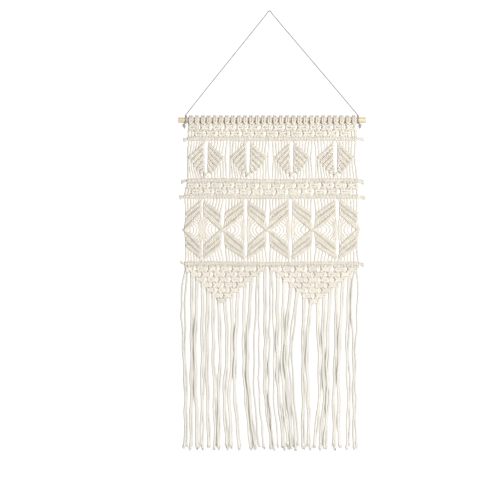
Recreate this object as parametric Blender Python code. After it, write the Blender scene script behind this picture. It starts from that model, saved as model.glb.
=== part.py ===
"""Macrame wall hanging on a wooden dowel, with the cord that it hangs by.

Millimetres in the values below, metres in the scene, +Z up, the front facing -Y.
The origin is where the hanging cord bears on its hook, under the cord's apex.
The macrame is one sheet of 56 cords and its knots, and hangs just in front of the dowel's axis.
"""

import math

import bmesh
import bpy
from mathutils import Vector

MM = 0.001

# Cords and rod
STRAND = 2.7  # side of a square strand as thick as a 3 mm cord
SEAM = 0.3  # gap between separate pieces
DOWEL_RADIUS = 5.0
DOWEL_LENGTH = 342.0
DOWEL_X = 4.7
DOWEL_Z = -197.8
DOWEL_SIDES = 24
DOWEL_BEVEL = 0.8
DOWEL_BEVEL_STEPS = 2
SHARP_ANGLE = 40.0  # degrees, past which an edge of the dowel is shaded sharp
HANGING_RADIUS = 1.0
CLOTH_Y = -4.0  # middle of the sheet's thickness

# How many cords, and how they are shared out
CORDS = 56
PAIRS = CORDS // 2
REPEATS = 4
HALF_REPEAT = CORDS // REPEATS // 2

# Half thicknesses of the sheet
STRAND_HALF = STRAND / 2
EDGE_HALF = 2.0  # where a strand enters a knot
PLY_HALF = 2.4  # grooves between ridges
RIDGE_HALF = 4.4  # crests of bars, ribs and knots
TAIL_HALF = 1.4

# Bars of double half hitches: the middle is the x of the cord boundary halfway along
BAR_COLUMNS = ("left", "middle", "right", "z", "height", "wave")
BARS = {
    "bar_1": (-148.9, 2.9, 159.3, -232.4, 9.3, 0.3),
    "bar_2": (-150.3, 2.7, 162.2, -308.4, 10.0, 1.0),
    "bar_3": (-155.8, -2.0, 162.5, -337.6, 9.1, 0.5),
    "bar_4": (-154.7, -2.0, 163.8, -459.0, 10.0, 0.6),
}
WAVES = 1.5  # how many times a bar waves from end to end
# Ends of each bar's holding cord: how far it sticks out, and how far its end drops
TAIL_COLUMNS = ("left_reach", "left_drop", "right_reach", "right_drop")
BAR_TAILS = {
    "bar_1": (8.0, 2.5, 12.0, 1.5),
    "bar_2": (10.0, 3.0, 10.5, 3.5),
    "bar_3": (8.5, 1.0, 12.0, 2.5),
    "bar_4": (7.0, -2.0, 8.0, 3.0),
}

# Lark's heads on the dowel, one for each pair of cords
HEADS_LEFT = -148.4
HEADS_RIGHT = 158.8
HEAD_CREST_RADIUS = 8.9
HEAD_GROOVE_RADIUS = 7.3
HEAD_SIDES = 6
HEADING_SEAT = 5.6  # how far under the dowel's axis the sheet starts, inside the heads
HEADING_INSET = 1.0

# Bands of alternating square knots: heights of the two rows' holes and of the line between
HOLE_HALF_WIDTH = 2.4
BAND_1 = {"top": -206.6, "upper": -211.6, "between": -217.2, "lower": -222.6}
BAND_2 = {"upper": -317.6, "between": -323.4, "lower": -329.2}

# Leaves under bar 1
LEAF_COLUMNS = ("left_tip", "slit", "right_tip")
LEAVES = (
    (-147.4, -114.9, -83.4),
    (-70.4, -38.4, -4.9),
    (10.2, 40.9, 72.9),
    (86.9, 120.9, 152.2),
)
LEAF_RIBS = 6
LEAF_TIP_Z = -263.4
LEAF_FOOT_Z = -299.8
LEAF_FIRST_RIB_Z = -244.9
LEAF_RIB_RISE = 10.9
LEAF_SLIT = 2.7  # half the slit between a leaf's halves
LEAF_FOOT_DROP = 9.5  # height of the join under the slit
LEAF_TUCK = 1.2  # how late the outer ends of the ribs turn in towards the slit
LEAF_FALL = 1.35  # how soon they fall towards the foot
SLIT_TOP = 1.0  # drop from a bar to the top of a slit

# Diamonds between bars 3 and 4
DIAMOND_COLUMNS = ("left", "slit", "right")
DIAMONDS = (
    (-156.3, -121.4, -84.4),
    (-84.4, -42.5, -3.5),
    (-3.5, 38.9, 80.2),
    (80.2, 123.6, 163.9),
)
CROSSING_Z = -397.6
CROSSING_REACH = 5.3  # from the crossing's middle to its side corner
CROSSING_RISE = 8.7
BAND_OUTER_GAP = 2.5
BAND_OUTER_RISES = (31.8, 26.4, 21.1, 14.9)  # edge, crest, groove, crest above the crossing
BAND_SLIT_RISES = (51.6, 48.4, 43.1, 37.8, 32.6, 27.4)  # crest, groove, ... edge, at the slit
BAND_SLIT = 2.4
HOLE_SHARE = 0.17  # part of a band's inner edge that the round hole takes
ARC_CENTRE = 2.4  # from the crossing's middle to the centre of the arcs
ARC_SLIT = 3.3  # from the slit to the middle of the nearest arc
ARC_NEAR_SHARE = 0.4  # radius of the arc next to the crossing, as a share of the farthest
ARC_FILL = 0.85  # share of their spacing that the arcs may fill
ARC_STEPS = (-0.5, 0.0, 0.5)
ARC_STEPS_FAR = (-0.4, 0.4)
BENT_ARCS = 3  # arcs next to a crossing that need three steps
ARC_ROUNDNESS = 1.6  # how long an arc keeps its radius before it turns to its roots

# Two points of alternating square knots under bar 4
POINT_ROWS = 7
ROW_HEIGHT = 9.6
POINT_TIPS = (-86.7, 81.6)
POINT_PAIRS = 2 * POINT_ROWS

# Strands
ROOT_LENGTH = 3.8  # over which a strand narrows from its knot
SHORT_STRAND = 8.0
MEDIUM_STRAND = 24.0
STRAND_SHARE = 0.75  # widest part of its place that a strand may fill

# Fringe: x of each pair of strands at three heights, and how far apart the two hang
STRIP_DROP = 0.45  # straight down from the sheet's sloping edge, which leaves the seam
STRIP_HEIGHT = 2.4
ARCH_DROP = 8.0  # of the strip under the hole between the two points
FRINGE_HEIGHTS = (-616.0, -698.0, -787.0)
FRINGE_COLUMNS = ("upper", "middle", "lower", "spread")
FRINGE_PAIRS = (
    (-154.9, -151.6, -152.5, 3.4),
    (-140.9, -141.6, -142.5, 3.0),
    (-134.9, -133.4, -130.7, 2.6),
    (-121.6, -121.6, -122.5, 3.8),
    (-112.9, -112.0, -109.8, 3.4),
    (-101.6, -99.3, -98.0, 3.2),
    (-88.9, -91.6, -91.6, 3.0),
    (-76.5, -81.6, -77.1, 3.2),
    (-67.4, -72.9, -68.9, 2.4),
    (-61.8, -62.5, -54.4, 2.6),
    (-46.2, -42.5, -33.5, 3.4),
    (-39.6, -36.5, -26.2, 2.8),
    (-22.9, -22.5, -14.5, 9.0),
    (-7.1, -7.1, 4.7, 3.4),
    (4.4, 3.8, 12.0, 9.0),
    (14.7, 17.5, 26.5, 3.6),
    (23.5, 26.5, 33.8, 2.6),
    (29.1, 33.8, 41.1, 3.0),
    (39.3, 42.9, 50.2, 5.0),
    (61.6, 62.0, 61.1, 3.6),
    (68.7, 71.1, 72.0, 2.8),
    (90.5, 91.6, 82.0, 3.4),
    (98.0, 100.2, 92.5, 3.4),
    (105.8, 106.5, 101.1, 3.6),
    (120.7, 117.4, 118.4, 3.2),
    (127.1, 126.0, 127.4, 2.8),
    (142.0, 144.7, 142.0, 4.2),
    (154.7, 154.7, 155.6, 4.6),
)
FRINGE_END_Z = -795.0
FRINGE_END_SWING = 4.0  # the cut ends are this much higher or lower
FRINGE_END_TURN = 2.4  # radians of that swing from one strand to the next
FRINGE_STEPS = 5
FRINGE_DEPTH = 1.55  # a pair hangs one strand before the other
FRINGE_ROOT_DEPTH = 0.5  # share of that depth at a strand's root

# Hanging cord: route of its middle, and its ties on the dowel
CORD_ROUTE = (
    (-151.5, -187.5),
    (-112.0, -137.6),
    (-68.0, -82.9),
    (-26.0, -30.7),
    (-8.0, -8.3),
    (0.0, 1.0),
    (8.4, -8.3),
    (27.5, -30.7),
    (71.8, -82.9),
    (118.2, -137.6),
    (160.0, -187.5),
)
CORD_POINTS = 54
CORD_SIDES_LEVEL = 2  # bevel resolution, which gives 8 sides
TIES = {"tie_left": (-154.3, 1.4), "tie_right": (162.9, -1.4)}  # x, and how far its knot sits inward
TIE_SIDES = 10
TIE_CORD_SIDES = 6
TIE_KNOT_LEVEL = 2  # subdivisions of the knot's ball
TIE_TURN_RADIUS = 6.6
TIE_KNOT = Vector((2.0, 2.3, 1.9))
TIE_KNOT_HEIGHT = 8.6  # of the knot's middle over the dowel's axis
TIE_TAIL_LENGTH = 8.5
TIE_TAIL_RADIUS = 1.5

# Colours, roughness
MATERIALS = {
    "cotton": ((0.80, 0.74, 0.62, 1.0), 0.9),
    "wood": ((0.72, 0.50, 0.28, 1.0), 0.6),
    "twine": ((0.78, 0.77, 0.74, 1.0), 0.8),
}


def material(name):
    """A Principled material of the given entry of MATERIALS, made once."""
    found = bpy.data.materials.get(name)
    if found:
        return found
    colour, roughness = MATERIALS[name]
    made = bpy.data.materials.new(name)
    made.use_nodes = True
    shader = made.node_tree.nodes["Principled BSDF"]
    shader.inputs["Base Color"].default_value = colour
    shader.inputs["Roughness"].default_value = roughness
    shader.inputs["Metallic"].default_value = 0.0
    return made


def add_object(name, data, finish):
    """Link a new object that holds the data, with its finish."""
    made = bpy.data.objects.new(name, data)
    data.materials.append(material(finish))
    bpy.context.collection.objects.link(made)
    return made


def mesh_object(name, bm, finish):
    """Turn a bmesh into an object."""
    mesh = bpy.data.meshes.new(name)
    bmesh.ops.recalc_face_normals(bm, faces=bm.faces)
    bm.to_mesh(mesh)
    bm.free()
    return add_object(name, mesh, finish)


def mix(a, b, share):
    """The value a share of the way from a to b."""
    return a + (b - a) * share


def along(values, share):
    """Read a smooth curve through evenly spaced values, from share 0 to share 1."""
    place = min(max(share, 0.0), 1.0) * (len(values) - 1)
    i = min(int(place), len(values) - 2)
    t = place - i
    p0, p1, p2, p3 = (values[min(max(i + k, 0), len(values) - 1)] for k in (-1, 0, 1, 2))
    slope = p2 - p0
    bend = 2 * p0 - 5 * p1 + 4 * p2 - p3
    twist = 3 * (p1 - p2) + p3 - p0
    return p1 + t * (slope + t * (bend + t * twist)) / 2


class Sheet:
    """Cords and knots laid out flat in x and z, then thickened about the sheet's middle."""

    def __init__(self):
        self.bm = bmesh.new()
        self.half = self.bm.verts.layers.float.new("half")
        self.offset = self.bm.verts.layers.float.new("offset")
        self.front_only = self.bm.verts.layers.int.new("front_only")

    def point(self, x, z, half, offset=0.0):
        """A point of the sheet, with half its thickness there and how far it lies back."""
        made = self.bm.verts.new((x, 0.0, z))
        made[self.half] = half
        made[self.offset] = offset
        return made

    def between(self, a, b, half, share=0.5):
        """A point on the line from a to b."""
        place = a.co.lerp(b.co, share)
        return self.point(place.x, place.z, half)

    def face(self, points):
        """A face of the sheet."""
        self.bm.faces.new(points)

    def patch(self, upper, lower):
        """A face between two rows of points, both from left to right."""
        points = list(lower)
        points += [p for p in reversed(upper) if p not in lower]
        self.face(points)

    def knob(self, ring, half):
        """A ridged knot: triangles from a ring of points to a crest in its middle."""
        middle = sum((p.co for p in ring), Vector()) / len(ring)
        crest = self.point(middle.x, middle.z, half)
        crest[self.front_only] = 1
        for a, b in zip(ring, ring[1:] + ring[:1]):
            self.face((a, b, crest))

    def strand(self, upper, lower, steps=()):
        """A strand from one row of points to another, through rings at the given steps.

        A step is (x, z, width x, width z), with the width across the strand as a vector.
        """
        rows = [upper]
        for x, z, wide_x, wide_z in steps:
            left = self.point(x - wide_x / 2, z - wide_z / 2, STRAND_HALF)
            right = self.point(x + wide_x / 2, z + wide_z / 2, STRAND_HALF)
            rows.append([left, right])
        rows.append(lower)
        for a, b in zip(rows, rows[1:]):
            self.patch(a, b)

    def hanging_strand(self, upper, lower):
        """A nearly straight strand that is narrow between its two knots."""
        top = (upper[0].co + upper[-1].co) / 2
        foot = (lower[0].co + lower[-1].co) / 2
        length = top.z - foot.z
        top_width = upper[-1].co.x - upper[0].co.x
        foot_width = lower[-1].co.x - lower[0].co.x
        if length < SHORT_STRAND:
            shares = ()
        elif length < MEDIUM_STRAND:
            shares = (0.5,)
        else:
            shares = (ROOT_LENGTH / length, 1 - ROOT_LENGTH / length)
        steps = []
        for share in shares:
            width = min(STRAND, STRAND_SHARE * mix(top_width, foot_width, share))
            eased = share * share * (3 - 2 * share)
            steps.append((mix(top.x, foot.x, eased), mix(top.z, foot.z, share), width, 0.0))
        self.strand(upper, lower, steps)

    def solid(self, name):
        """Give the sheet its thickness and make it an object."""
        bm = self.bm
        for face in bm.faces:
            face.normal_update()
            if face.normal.y > 0:
                face.normal_flip()
        made = bmesh.ops.extrude_face_region(bm, geom=bm.faces[:], use_keep_orig=True)
        front = {v for v in made["geom"] if isinstance(v, bmesh.types.BMVert)}
        for vert in bm.verts:
            side = -1 if vert in front else 1
            vert.co.y = CLOTH_Y + vert[self.offset] + side * vert[self.half]
        backs = [v for v in bm.verts if v[self.front_only] and v not in front]
        bmesh.ops.dissolve_verts(bm, verts=backs)
        bmesh.ops.scale(bm, vec=(MM, MM, MM), verts=bm.verts)
        bmesh.ops.triangulate(bm, faces=bm.faces)
        return mesh_object(name, bm, "cotton")


def bar_x(row, share):
    """Where a share of a bar's length falls, with the middle cord in its own place."""
    left, middle, right = row["left"], row["middle"], row["right"]
    return (
        left * (1 - share) * (1 - 2 * share)
        + middle * 4 * share * (1 - share)
        + right * share * (2 * share - 1)
    )


def add_bar(sheet, name):
    """A ridged bar; gives the points along its top and its bottom."""
    row = dict(zip(BAR_COLUMNS, BARS[name]))
    tail = dict(zip(TAIL_COLUMNS, BAR_TAILS[name]))
    top, foot = [], []
    for i in range(CORDS + 1):
        share = i / CORDS
        x = bar_x(row, share)
        z = row["z"] + row["wave"] * math.sin(2 * math.pi * WAVES * share)
        top.append(sheet.point(x, z + row["height"] / 2, EDGE_HALF))
        foot.append(sheet.point(x, z - row["height"] / 2, EDGE_HALF))
    for i in range(CORDS):
        sheet.knob([foot[i], foot[i + 1], top[i + 1], top[i]], RIDGE_HALF)
    for end, side, label in ((0, -1, "left"), (CORDS, 1, "right")):
        x = top[end].co.x + side * tail[label + "_reach"]
        z = (top[end].co.z + foot[end].co.z) / 2 - tail[label + "_drop"]
        tip = (sheet.point(x, z + STRAND, TAIL_HALF), sheet.point(x, z - STRAND, TAIL_HALF))
        sheet.face((top[end], tip[0], tip[1], foot[end]))
    return top, foot


def knot_row(sheet, above, z_holes, below, holes):
    """A row of square knots between two rows of pair points, with holes at the given ones.

    above and below are lists of lists: the points of each pair, sharing their ends.
    """
    left_sides, right_sides = [], []
    for j in range(len(above) + 1):
        pair = above[min(j, len(above) - 1)]
        other = below[min(j, len(below) - 1)]
        end = -1 if j == len(above) else 0
        x = (pair[end].co.x + other[end].co.x) / 2
        if j in holes:
            left_sides.append(sheet.point(x - HOLE_HALF_WIDTH, z_holes, PLY_HALF))
            right_sides.append(sheet.point(x + HOLE_HALF_WIDTH, z_holes, PLY_HALF))
        else:
            inner = 0 < j < len(above)
            left_sides.append(sheet.point(x, z_holes, RIDGE_HALF if inner else PLY_HALF))
            right_sides.append(left_sides[-1])
    for j in range(len(above)):
        middle = [right_sides[j], left_sides[j + 1]]
        sheet.patch(above[j], middle)
        sheet.patch(middle, below[j])


def in_pairs(points):
    """Group cord boundaries in threes, so that each group is one pair of cords."""
    return [points[i : i + 3] for i in range(0, len(points) - 1, 2)]


def neighbours(points):
    """Group points in twos, each point with the next."""
    return [[a, b] for a, b in zip(points, points[1:])]


def add_knot_band(sheet, above, heights, below):
    """Two rows of square knots, the lower ones under the upper row's gaps."""
    seam = []
    for j in range(PAIRS + 1):
        upper = above[min(j, PAIRS - 1)][0 if j < PAIRS else -1].co
        lower = below[min(j, PAIRS - 1)][0 if j < PAIRS else -1].co
        seam.append(sheet.point((upper.x + lower.x) / 2, heights["between"], PLY_HALF))
    seam = neighbours(seam)
    knot_row(sheet, above, heights["upper"], seam, range(2, PAIRS, 2))
    knot_row(sheet, seam, heights["lower"], below, range(1, PAIRS, 2))


def ribbed(sheet, lines):
    """Faces between lines of points that run along the ribs, each from outside to the slit."""
    for upper, lower in zip(lines, lines[1:]):
        sheet.patch(upper, lower)


def add_leaf(sheet, row, bar_foot, next_top):
    """One leaf of two ribbed halves, with its strands above and below."""
    leaf = dict(zip(LEAF_COLUMNS, row))
    join = sheet.point(leaf["slit"], LEAF_FOOT_Z + LEAF_FOOT_DROP, PLY_HALF)
    foot = sheet.point(leaf["slit"], LEAF_FOOT_Z, PLY_HALF)
    shared_crest = sheet.between(join, foot, RIDGE_HALF)
    for side, tip_x in ((-1, leaf["left_tip"]), (1, leaf["right_tip"])):
        inner_x = leaf["slit"] + side * LEAF_SLIT
        roof_z = bar_foot[HALF_REPEAT].co.z - SLIT_TOP
        roof = []
        for i in range(HALF_REPEAT + 1):
            share = i / HALF_REPEAT
            z = mix(LEAF_TIP_Z, roof_z, share)
            roof.append(sheet.point(mix(tip_x, inner_x, share), z, EDGE_HALF))
        outer, inner = [roof[0]], [roof[-1]]
        for k in range(1, LEAF_RIBS + 1):
            share = k / LEAF_RIBS
            if k == LEAF_RIBS:
                outer.append(foot)
                inner.append(foot)
                continue
            x = mix(tip_x, inner_x, share**LEAF_TUCK)
            z = mix(LEAF_TIP_Z, LEAF_FOOT_Z, 1 - (1 - share) ** LEAF_FALL)
            outer.append(sheet.point(x, z, PLY_HALF))
            if k == LEAF_RIBS - 1:
                inner.append(join)
                continue
            z = LEAF_FIRST_RIB_Z - (k - 1) * LEAF_RIB_RISE
            inner.append(sheet.point(inner_x, z, PLY_HALF))
        outer_crests = [sheet.between(a, b, RIDGE_HALF) for a, b in zip(outer, outer[1:])]
        inner_crests = [sheet.between(a, b, RIDGE_HALF) for a, b in zip(inner, inner[1:-1])]
        inner_crests.append(shared_crest)
        lines = [roof]
        for k in range(LEAF_RIBS):
            lines.append([outer_crests[k], inner_crests[k]])
            if k < LEAF_RIBS - 1:
                lines.append([outer[k + 1], inner[k + 1]])
        ribbed(sheet, lines)
        sheet.face((outer_crests[-1], shared_crest, foot))
        roots = [[outer[k], outer_crests[k], outer[k + 1]] for k in range(LEAF_RIBS - 1)]
        roots += [[outer[-2], outer_crests[-1]], [outer_crests[-1], foot]]
        roof_roots = neighbours(roof)
        first = 0 if side < 0 else HALF_REPEAT
        if side > 0:
            roots = [root[::-1] for root in reversed(roots)]
            roof_roots = [root[::-1] for root in reversed(roof_roots)]
        for i in range(HALF_REPEAT):
            place = slice(first + i, first + i + 2)
            sheet.hanging_strand(bar_foot[place], roof_roots[i])
            sheet.hanging_strand(roots[i], next_top[place])


def add_crossing(sheet, x, sides):
    """Where four bands meet: gives its corners by name, with only those of the sides that exist."""
    corners = {
        "north": sheet.point(x, CROSSING_Z + CROSSING_RISE, PLY_HALF),
        "south": sheet.point(x, CROSSING_Z - CROSSING_RISE, PLY_HALF),
    }
    for side in sides:
        reach = x + side * CROSSING_REACH
        corners[side] = sheet.point(reach, CROSSING_Z, PLY_HALF)
        for end in ("north", "south"):
            corners[side, end] = sheet.between(corners[end], corners[side], RIDGE_HALF)
    ring = [corners["north"]]
    for side, ends in ((1, ("north", "south")), (-1, ("south", "north"))):
        if side in sides:
            ring += [corners[side, ends[0]], corners[side], corners[side, ends[1]]]
        if side > 0:
            ring.append(corners["south"])
    sheet.knob(ring, RIDGE_HALF)
    return corners


def add_band(sheet, crossing, side, slit_x, end, bar_points):
    """One ribbed band from a crossing to the slit, with its strands to the bar.

    side is +1 for a band to the right of its crossing; end is north for a band above it.
    Gives the points of the inner edge, from the crossing to the slit.
    """
    up = 1 if end == "north" else -1
    outer_x = crossing[end].co.x + side * BAND_OUTER_GAP
    inner_x = slit_x - side * BAND_SLIT
    slit_z = bar_points[HALF_REPEAT if side > 0 else 0].co.z - up * SLIT_TOP
    rises = BAND_OUTER_RISES
    halves = (EDGE_HALF, RIDGE_HALF, PLY_HALF, RIDGE_HALF)
    outer = [sheet.point(outer_x, CROSSING_Z + up * rise, half) for rise, half in zip(rises, halves)]
    outer += [crossing[end], crossing[side, end]]
    lines = []
    for k, start in enumerate(outer):
        if k == 0:
            roof = [start]
            for i in range(1, HALF_REPEAT + 1):
                share = i / HALF_REPEAT
                z = mix(start.co.z, slit_z, share)
                roof.append(sheet.point(mix(outer_x, inner_x, share), z, EDGE_HALF))
            lines.append(roof)
            continue
        half = RIDGE_HALF if k % 2 else PLY_HALF
        lines.append([start, sheet.point(inner_x, CROSSING_Z + up * BAND_SLIT_RISES[k - 1], half)])
    corner = crossing[side]
    edge_end = Vector((inner_x, 0.0, CROSSING_Z + up * BAND_SLIT_RISES[-1]))
    edge = [corner]
    for i in range(HALF_REPEAT + 1):
        place = corner.co.lerp(edge_end, mix(HOLE_SHARE, 1.0, i / HALF_REPEAT))
        edge.append(sheet.point(place.x, place.z, EDGE_HALF))
    lines.append(edge)
    ribbed(sheet, lines)
    roots = neighbours(roof)
    if side < 0:
        roots = [root[::-1] for root in reversed(roots)]
    for root, bar_root in zip(roots, neighbours(bar_points)):
        if up > 0:
            sheet.hanging_strand(bar_root, root)
        else:
            sheet.hanging_strand(root, bar_root)
    return edge[1:]


def add_arcs(sheet, crossing, side, slit_x, upper, lower):
    """Strands that ripple round a crossing, from the band above it to the band below."""
    centre = Vector((crossing["north"].co.x + side * ARC_CENTRE, 0.0, CROSSING_Z))
    far = abs(slit_x - centre.x) - ARC_SLIT
    near = far * ARC_NEAR_SHARE
    width = min(STRAND, ARC_FILL * (far - near) / (HALF_REPEAT - 1))
    for k in range(HALF_REPEAT):
        top = (upper[k].co + upper[k + 1].co) / 2 - centre
        reach = math.hypot(top.x, top.z)
        opening = math.atan2(top.z, side * top.x)
        radius = mix(near, far, k / (HALF_REPEAT - 1))
        steps = []
        for step in reversed(ARC_STEPS if k < BENT_ARCS else ARC_STEPS_FAR):
            angle = step * opening
            r = mix(radius, reach, abs(step) ** ARC_ROUNDNESS)
            across = Vector((side * math.cos(angle), 0.0, math.sin(angle)))
            place = centre + across * r
            across *= width
            steps.append((place.x, place.z, across.x, across.z))
        sheet.strand(upper[k : k + 2], lower[k : k + 2], steps)


def add_diamonds(sheet, bar_foot, next_top):
    """Four repeats of crossed bands, with the strands above, between and below them."""
    edges = [row[0] for row in DIAMONDS] + [DIAMONDS[-1][-1]]
    crossings = []
    for i, x in enumerate(edges):
        sides = [side for side in (-1, 1) if 0 <= i + (side - 1) // 2 < REPEATS]
        crossings.append(add_crossing(sheet, x, sides))
    for i, values in enumerate(DIAMONDS):
        diamond = dict(zip(DIAMOND_COLUMNS, values))
        for side, crossing in ((1, crossings[i]), (-1, crossings[i + 1])):
            first = (2 * i + (side < 0)) * HALF_REPEAT
            place = slice(first, first + HALF_REPEAT + 1)
            upper = add_band(sheet, crossing, side, diamond["slit"], "north", bar_foot[place])
            lower = add_band(sheet, crossing, side, diamond["slit"], "south", next_top[place])
            add_arcs(sheet, crossing, side, diamond["slit"], upper, lower)


def point_grid(bar_foot, tip_x):
    """x of each pair boundary of a point, for each line between its rows."""
    start = [p.co.x for p in bar_foot[::2]]
    shift = tip_x - start[POINT_ROWS]
    return [[x + shift * r / POINT_ROWS for x in start] for r in range(POINT_ROWS + 1)]


def add_point(sheet, bar_foot, tip_x):
    """A point of square knots; gives the places down one side and up the other."""
    grid = point_grid(bar_foot, tip_x)
    top_z = bar_foot[0].co.z
    above = in_pairs(bar_foot)
    left_edge, right_edge = [], []
    for r in range(POINT_ROWS):
        z_holes = top_z - ROW_HEIGHT * (r + 0.5)
        z_foot = top_z - ROW_HEIGHT * (r + 1)
        first, last = r, POINT_PAIRS - r
        xs = grid[r + 1]
        below = [sheet.point(xs[j], z_foot, PLY_HALF) for j in range(first + 1, last)]
        middle_xs = [(a + b) / 2 for a, b in zip(grid[r], grid[r + 1])]
        left = sheet.point((grid[r][first] + xs[first + 1]) / 2, z_holes, PLY_HALF)
        right = sheet.point((grid[r][last] + xs[last - 1]) / 2, z_holes, PLY_HALF)
        left_sides, right_sides = [], [left]
        for j in range(first + 1, last):
            if (j - first) % 2:
                left_sides.append(sheet.point(middle_xs[j], z_holes, RIDGE_HALF))
                right_sides.append(left_sides[-1])
            else:
                left_sides.append(sheet.point(middle_xs[j] - HOLE_HALF_WIDTH, z_holes, PLY_HALF))
                right_sides.append(sheet.point(middle_xs[j] + HOLE_HALF_WIDTH, z_holes, PLY_HALF))
        left_sides.append(right)
        for j, (a, b) in enumerate(zip(right_sides, left_sides)):
            sheet.patch(above[j], [a, b])
            if j == 0:
                sheet.face((a, below[0], b))
            elif j == len(left_sides) - 1:
                sheet.face((a, below[-1], b))
            else:
                sheet.patch([a, b], below[j - 1 : j + 1])
        left_edge += [above[0][0].co.copy(), left.co.copy()]
        right_edge += [above[-1][-1].co.copy(), right.co.copy()]
        above = neighbours(below)
        tip = below[0].co.copy()
    return left_edge + [tip] + right_edge[::-1]


def add_heads():
    """The row of lark's heads round the dowel: a sleeve with a crest on each head."""
    bm = bmesh.new()
    pitch = (HEADS_RIGHT - HEADS_LEFT) / PAIRS
    clear = (DOWEL_RADIUS + SEAM) / math.cos(math.pi / HEAD_SIDES)
    profile = [(HEADS_LEFT, clear), (HEADS_LEFT, HEAD_GROOVE_RADIUS)]
    for i in range(PAIRS):
        middle = HEADS_LEFT + (i + 0.5) * pitch
        profile.append((middle, HEAD_CREST_RADIUS))
        profile.append((middle + pitch / 2, HEAD_GROOVE_RADIUS))
    profile.append((HEADS_RIGHT, clear))
    axis = Vector((0.0, 0.0, DOWEL_Z))
    verts = [bm.verts.new((x, 0.0, DOWEL_Z + r)) for x, r in profile]
    edges = [bm.edges.new((a, b)) for a, b in zip(verts, verts[1:] + verts[:1])]
    bmesh.ops.spin(
        bm,
        geom=verts + edges,
        cent=axis,
        axis=(1.0, 0.0, 0.0),
        angle=2 * math.pi,
        steps=HEAD_SIDES,
        use_merge=True,
    )
    bmesh.ops.rotate(
        bm,
        verts=bm.verts,
        cent=axis,
        matrix=turn_about_x(math.pi / HEAD_SIDES),
    )
    bmesh.ops.scale(bm, vec=(MM, MM, MM), verts=bm.verts)
    return mesh_object("heads_shape", bm, "cotton")


def turn_about_x(angle):
    """A rotation about the x axis."""
    return Vector((0.0, 1.0, 0.0)).rotation_difference(
        Vector((0.0, math.cos(angle), math.sin(angle)))
    ).to_matrix()


def add_macrame():
    """The whole sheet, from the heads on the dowel to its two points.

    Gives the places along its lower edge, where the fringe starts.
    """
    sheet = Sheet()
    seat, heading = [], []
    for j in range(PAIRS + 1):
        x = mix(HEADS_LEFT + HEADING_INSET, HEADS_RIGHT - HEADING_INSET, j / PAIRS)
        seat.append(sheet.point(x, DOWEL_Z - HEADING_SEAT, STRAND_HALF))
        heading.append(sheet.point(x, BAND_1["top"], EDGE_HALF))
    for upper, lower in zip(neighbours(seat), neighbours(heading)):
        sheet.patch(upper, lower)
    top_1, foot_1 = add_bar(sheet, "bar_1")
    top_2, foot_2 = add_bar(sheet, "bar_2")
    top_3, foot_3 = add_bar(sheet, "bar_3")
    top_4, foot_4 = add_bar(sheet, "bar_4")
    add_knot_band(sheet, neighbours(heading), BAND_1, in_pairs(top_1))
    add_knot_band(sheet, in_pairs(foot_2), BAND_2, in_pairs(top_3))
    per_repeat = CORDS // REPEATS
    for i, leaf in enumerate(LEAVES):
        place = slice(i * per_repeat, (i + 1) * per_repeat + 1)
        add_leaf(sheet, leaf, foot_1[place], top_2[place])
    add_diamonds(sheet, foot_3, top_4)
    edge = []
    for i, tip_x in enumerate(POINT_TIPS):
        place = slice(i * CORDS // 2, (i + 1) * CORDS // 2 + 1)
        edge.append(add_point(sheet, foot_4[place], tip_x))
    join_to(sheet.solid("macrame"), add_heads())
    return edge


def add_fringe(edge):
    """The strands of the fringe, on a narrow strip just under the sheet's lower edge."""
    sheet = Sheet()
    places = edge[0] + edge[1][1:]
    arch = len(edge[0]) - 1
    upper, lower = [], []
    for i, place in enumerate(places):
        drop = ARCH_DROP if i == arch else STRIP_DROP
        upper.append(sheet.point(place.x, place.z - drop, STRAND_HALF))
        lower.append(sheet.point(place.x, place.z - drop - STRIP_HEIGHT, STRAND_HALF))
    for a, b in zip(neighbours(upper), neighbours(lower)):
        sheet.patch(a, b)
    for i, root in enumerate(neighbours(lower)):
        row = dict(zip(FRINGE_COLUMNS, FRINGE_PAIRS[i // 2]))
        side = -1 if i % 2 == 0 else 1
        add_fringe_strand(sheet, i, root, row, side)
    sheet.solid("fringe")


def add_fringe_strand(sheet, i, root, row, side):
    """One strand, from its place on the strip to its cut end."""
    start = (root[0].co + root[1].co) / 2
    spread = side * row["spread"] / 2
    heights = (start.z,) + FRINGE_HEIGHTS
    xs = (start.x, row["upper"] + spread, row["middle"] + spread, row["lower"] + spread)
    end_z = FRINGE_END_Z + FRINGE_END_SWING * math.sin(FRINGE_END_TURN * i)
    above = root
    for step in range(FRINGE_STEPS + 1):
        z = mix(start.z - ROOT_LENGTH, end_z, step / FRINGE_STEPS)
        x = along(xs, place_on(heights, z))
        offset = side * FRINGE_DEPTH * (1.0 if step else FRINGE_ROOT_DEPTH)
        ring = [
            sheet.point(x - STRAND_HALF, z, STRAND_HALF, offset),
            sheet.point(x + STRAND_HALF, z, STRAND_HALF, offset),
        ]
        sheet.patch(above, ring)
        above = ring


def place_on(heights, z):
    """Which share of a falling list of heights a height is at."""
    last = len(heights) - 1
    for i, (a, b) in enumerate(zip(heights, heights[1:])):
        if z >= b or i == last - 1:
            return (i + min((a - z) / (a - b), 1.0)) / last
    return 1.0


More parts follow.
